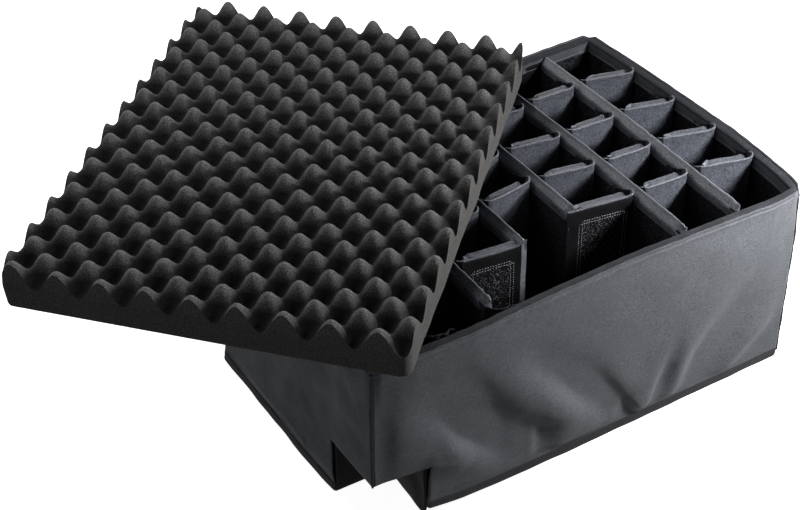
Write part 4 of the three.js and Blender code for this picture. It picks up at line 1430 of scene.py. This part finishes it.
def stitch_tree():
    """Stitches along seam lines: a small rounded length of thread at each pitch."""
    tree = bpy.data.node_groups.new("stitch_rows", "GeometryNodeTree")
    face = tree.interface
    face.new_socket("Seam lines", in_out="INPUT", socket_type="NodeSocketGeometry")
    sizes = {}
    for label, value in STITCH_SIZES.items():
        socket = face.new_socket(label, in_out="INPUT", socket_type="NodeSocketFloat")
        socket.default_value = value
        sizes[label] = socket.identifier
    face.new_socket("Stitches", in_out="OUTPUT", socket_type="NodeSocketGeometry")
    given = add(tree, "NodeGroupInput").outputs
    curve = add(tree, "GeometryNodeMeshToCurve", {"Mesh": given["Seam lines"]})
    even = add(tree, "GeometryNodeResampleCurve", {"Curve": curve, "Length": given["Pitch"]}, mode="LENGTH")
    tangent = add(tree, "GeometryNodeInputTangent")
    turn = add(tree, "FunctionNodeAlignRotationToVector", {"Vector": tangent}, axis="X")
    stitch = add(tree, "GeometryNodeMeshUVSphere", {"Segments": 6, "Rings": 5, "Radius": 0.5})
    thread = given["Thread"]
    size = add(tree, "ShaderNodeCombineXYZ", {"X": given["Stitch length"], "Y": thread, "Z": thread})
    placed = add(
        tree,
        "GeometryNodeInstanceOnPoints",
        {"Points": even, "Instance": stitch, "Rotation": turn, "Scale": size},
    )
    real = add(tree, "GeometryNodeRealizeInstances", {"Geometry": placed})
    dressed = add(tree, "GeometryNodeSetMaterial", {"Geometry": real, "Material": seam_thread})
    add(tree, "NodeGroupOutput", {"Stitches": dressed})
    return tree, sizes


stitch_rows, stitch_sockets = stitch_tree()


def sew(name, body, lines):
    """Turns seam lines into one mesh of stitches that rides on a body. Its thread is drawn a little
    thicker than the real one so that it shows."""
    points, edges = [], []
    for line in lines:
        start = len(points)
        points += [tuple(p * MM) for p in line]
        edges += [(start + k, start + k + 1) for k in range(len(line) - 1)]
    mesh = bpy.data.meshes.new(name + "_lines")
    mesh.from_pydata(points, edges, [])
    guide = linked(name + "_lines", mesh)
    rows = guide.modifiers.new("stitches", "NODES")
    rows.node_group = stitch_rows
    for label, value in STITCH_SIZES.items():
        rows[stitch_sockets[label]] = value
    bpy.context.view_layer.update()
    done = guide.evaluated_get(bpy.context.evaluated_depsgraph_get())
    sewn = bpy.data.meshes.new_from_object(done)
    bpy.data.objects.remove(guide)
    bpy.data.meshes.remove(mesh)
    sewn.name = name
    made = linked(name, sewn)
    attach(made, body)


rim_seam = carried(rim_path, rim_side, np.array([(12.0, 233.8)]))
note_seam("tray", slumped(np.vstack([rim_seam[:, 0], rim_seam[:1, 0]])))
for body, lines in seams.items():
    sew(body + "_stitches", body, lines)

# ---------------------------------------------------------------- studio

STUDIO_REACH, STUDIO_FLOOR = 6.0, -0.001  # metres


def white_for_sight(tree):
    """1 for rays that see the backdrop straight or in a gloss or through glass, else 0."""
    rays = add(tree, "ShaderNodeLightPath").outputs
    seen = add(
        tree, "ShaderNodeMath", {0: rays["Is Camera Ray"], 1: rays["Is Glossy Ray"]}, operation="MAXIMUM"
    )
    return add(tree, "ShaderNodeMath", {0: seen, 1: rays["Is Transmission Ray"]}, operation="MAXIMUM")


def studio_floor():
    """Pale paper that keeps the object's shadow, and is near white only where it is seen."""
    mesh = bpy.data.meshes.new("studio_floor")
    reach, low = STUDIO_REACH, STUDIO_FLOOR
    corners = [(-reach, -reach, low), (reach, -reach, low), (reach, reach, low), (-reach, reach, low)]
    mesh.from_pydata(corners, [], [(0, 1, 2, 3)])
    made, tree, _ = blank_material("white_paper_floor")
    seen = white_for_sight(tree)
    dim, bright = linear("#555555"), linear("#f4f4f4")
    paper = add(tree, "ShaderNodeMix", {"Factor": seen, "A": dim, "B": bright}, data_type="RGBA")
    matt = add(tree, "ShaderNodeBsdfDiffuse", {"Color": paper})
    glow = add(tree, "ShaderNodeEmission", {"Color": linear("#ffffff"), "Strength": 0.92})
    clear = add(tree, "ShaderNodeEmission", {"Color": linear("#000000"), "Strength": 0.0})
    lit = add(tree, "ShaderNodeMixShader", {0: seen, 1: clear, 2: glow})
    add(tree, "ShaderNodeOutputMaterial", {"Surface": add(tree, "ShaderNodeAddShader", {0: matt, 1: lit})})
    mesh.materials.append(made)
    linked("studio_floor", mesh)


def studio_world():
    world = bpy.data.worlds.new("studio")
    world.use_nodes = True
    tree = world.node_tree
    tree.nodes.clear()
    dim = add(tree, "ShaderNodeBackground", {"Color": linear("#ffffff"), "Strength": 0.06})
    white = add(tree, "ShaderNodeBackground", {"Color": linear("#ffffff"), "Strength": 1.0})
    both = add(tree, "ShaderNodeMixShader", {0: white_for_sight(tree), 1: dim, 2: white})
    add(tree, "ShaderNodeOutputWorld", {"Surface": both})
    bpy.context.scene.world = world


def softbox(name, place, target, size, watts):
    data = bpy.data.lights.new(name, "AREA")
    data.shape = "RECTANGLE"
    data.size, data.size_y = size
    data.energy = watts
    lamp = linked(name, data)
    lamp.visible_camera = False
    way = Vector(target) - Vector(place)
    lamp.matrix_world = Matrix.Translation(place) @ way.to_track_quat("-Z", "Y").to_matrix().to_4x4()


studio_floor()
studio_world()

# Lamps: place, what they face, size in metres, and power
softbox("near_softbox", (0.41, -0.42, 0.45), (0.22, -0.2, 0.14), (0.08, 0.08), 7.6)
softbox("key_softbox", (0.82, -0.68, 0.98), (0.15, 0.0, 0.22), (0.16, 0.16), 6)
softbox("back_softbox", (0.75, 1.1, 0.98), (0.05, 0.05, 0.25), (0.9, 0.7), 6)
softbox("far_softbox", (-0.35, 1.15, 0.95), (-0.3, 0.1, 0.3), (0.7, 0.5), 8)
softbox("foam_softbox", (-0.42, 0.35, 0.95), (-0.52, 0.05, 0.3), (0.25, 0.25), 2.5)
softbox("left_softbox", (-1.4, -0.7, 0.6), (-0.1, 0.0, 0.2), (0.6, 0.6), 2.2)
bpy.context.scene.view_settings.view_transform = "Standard"
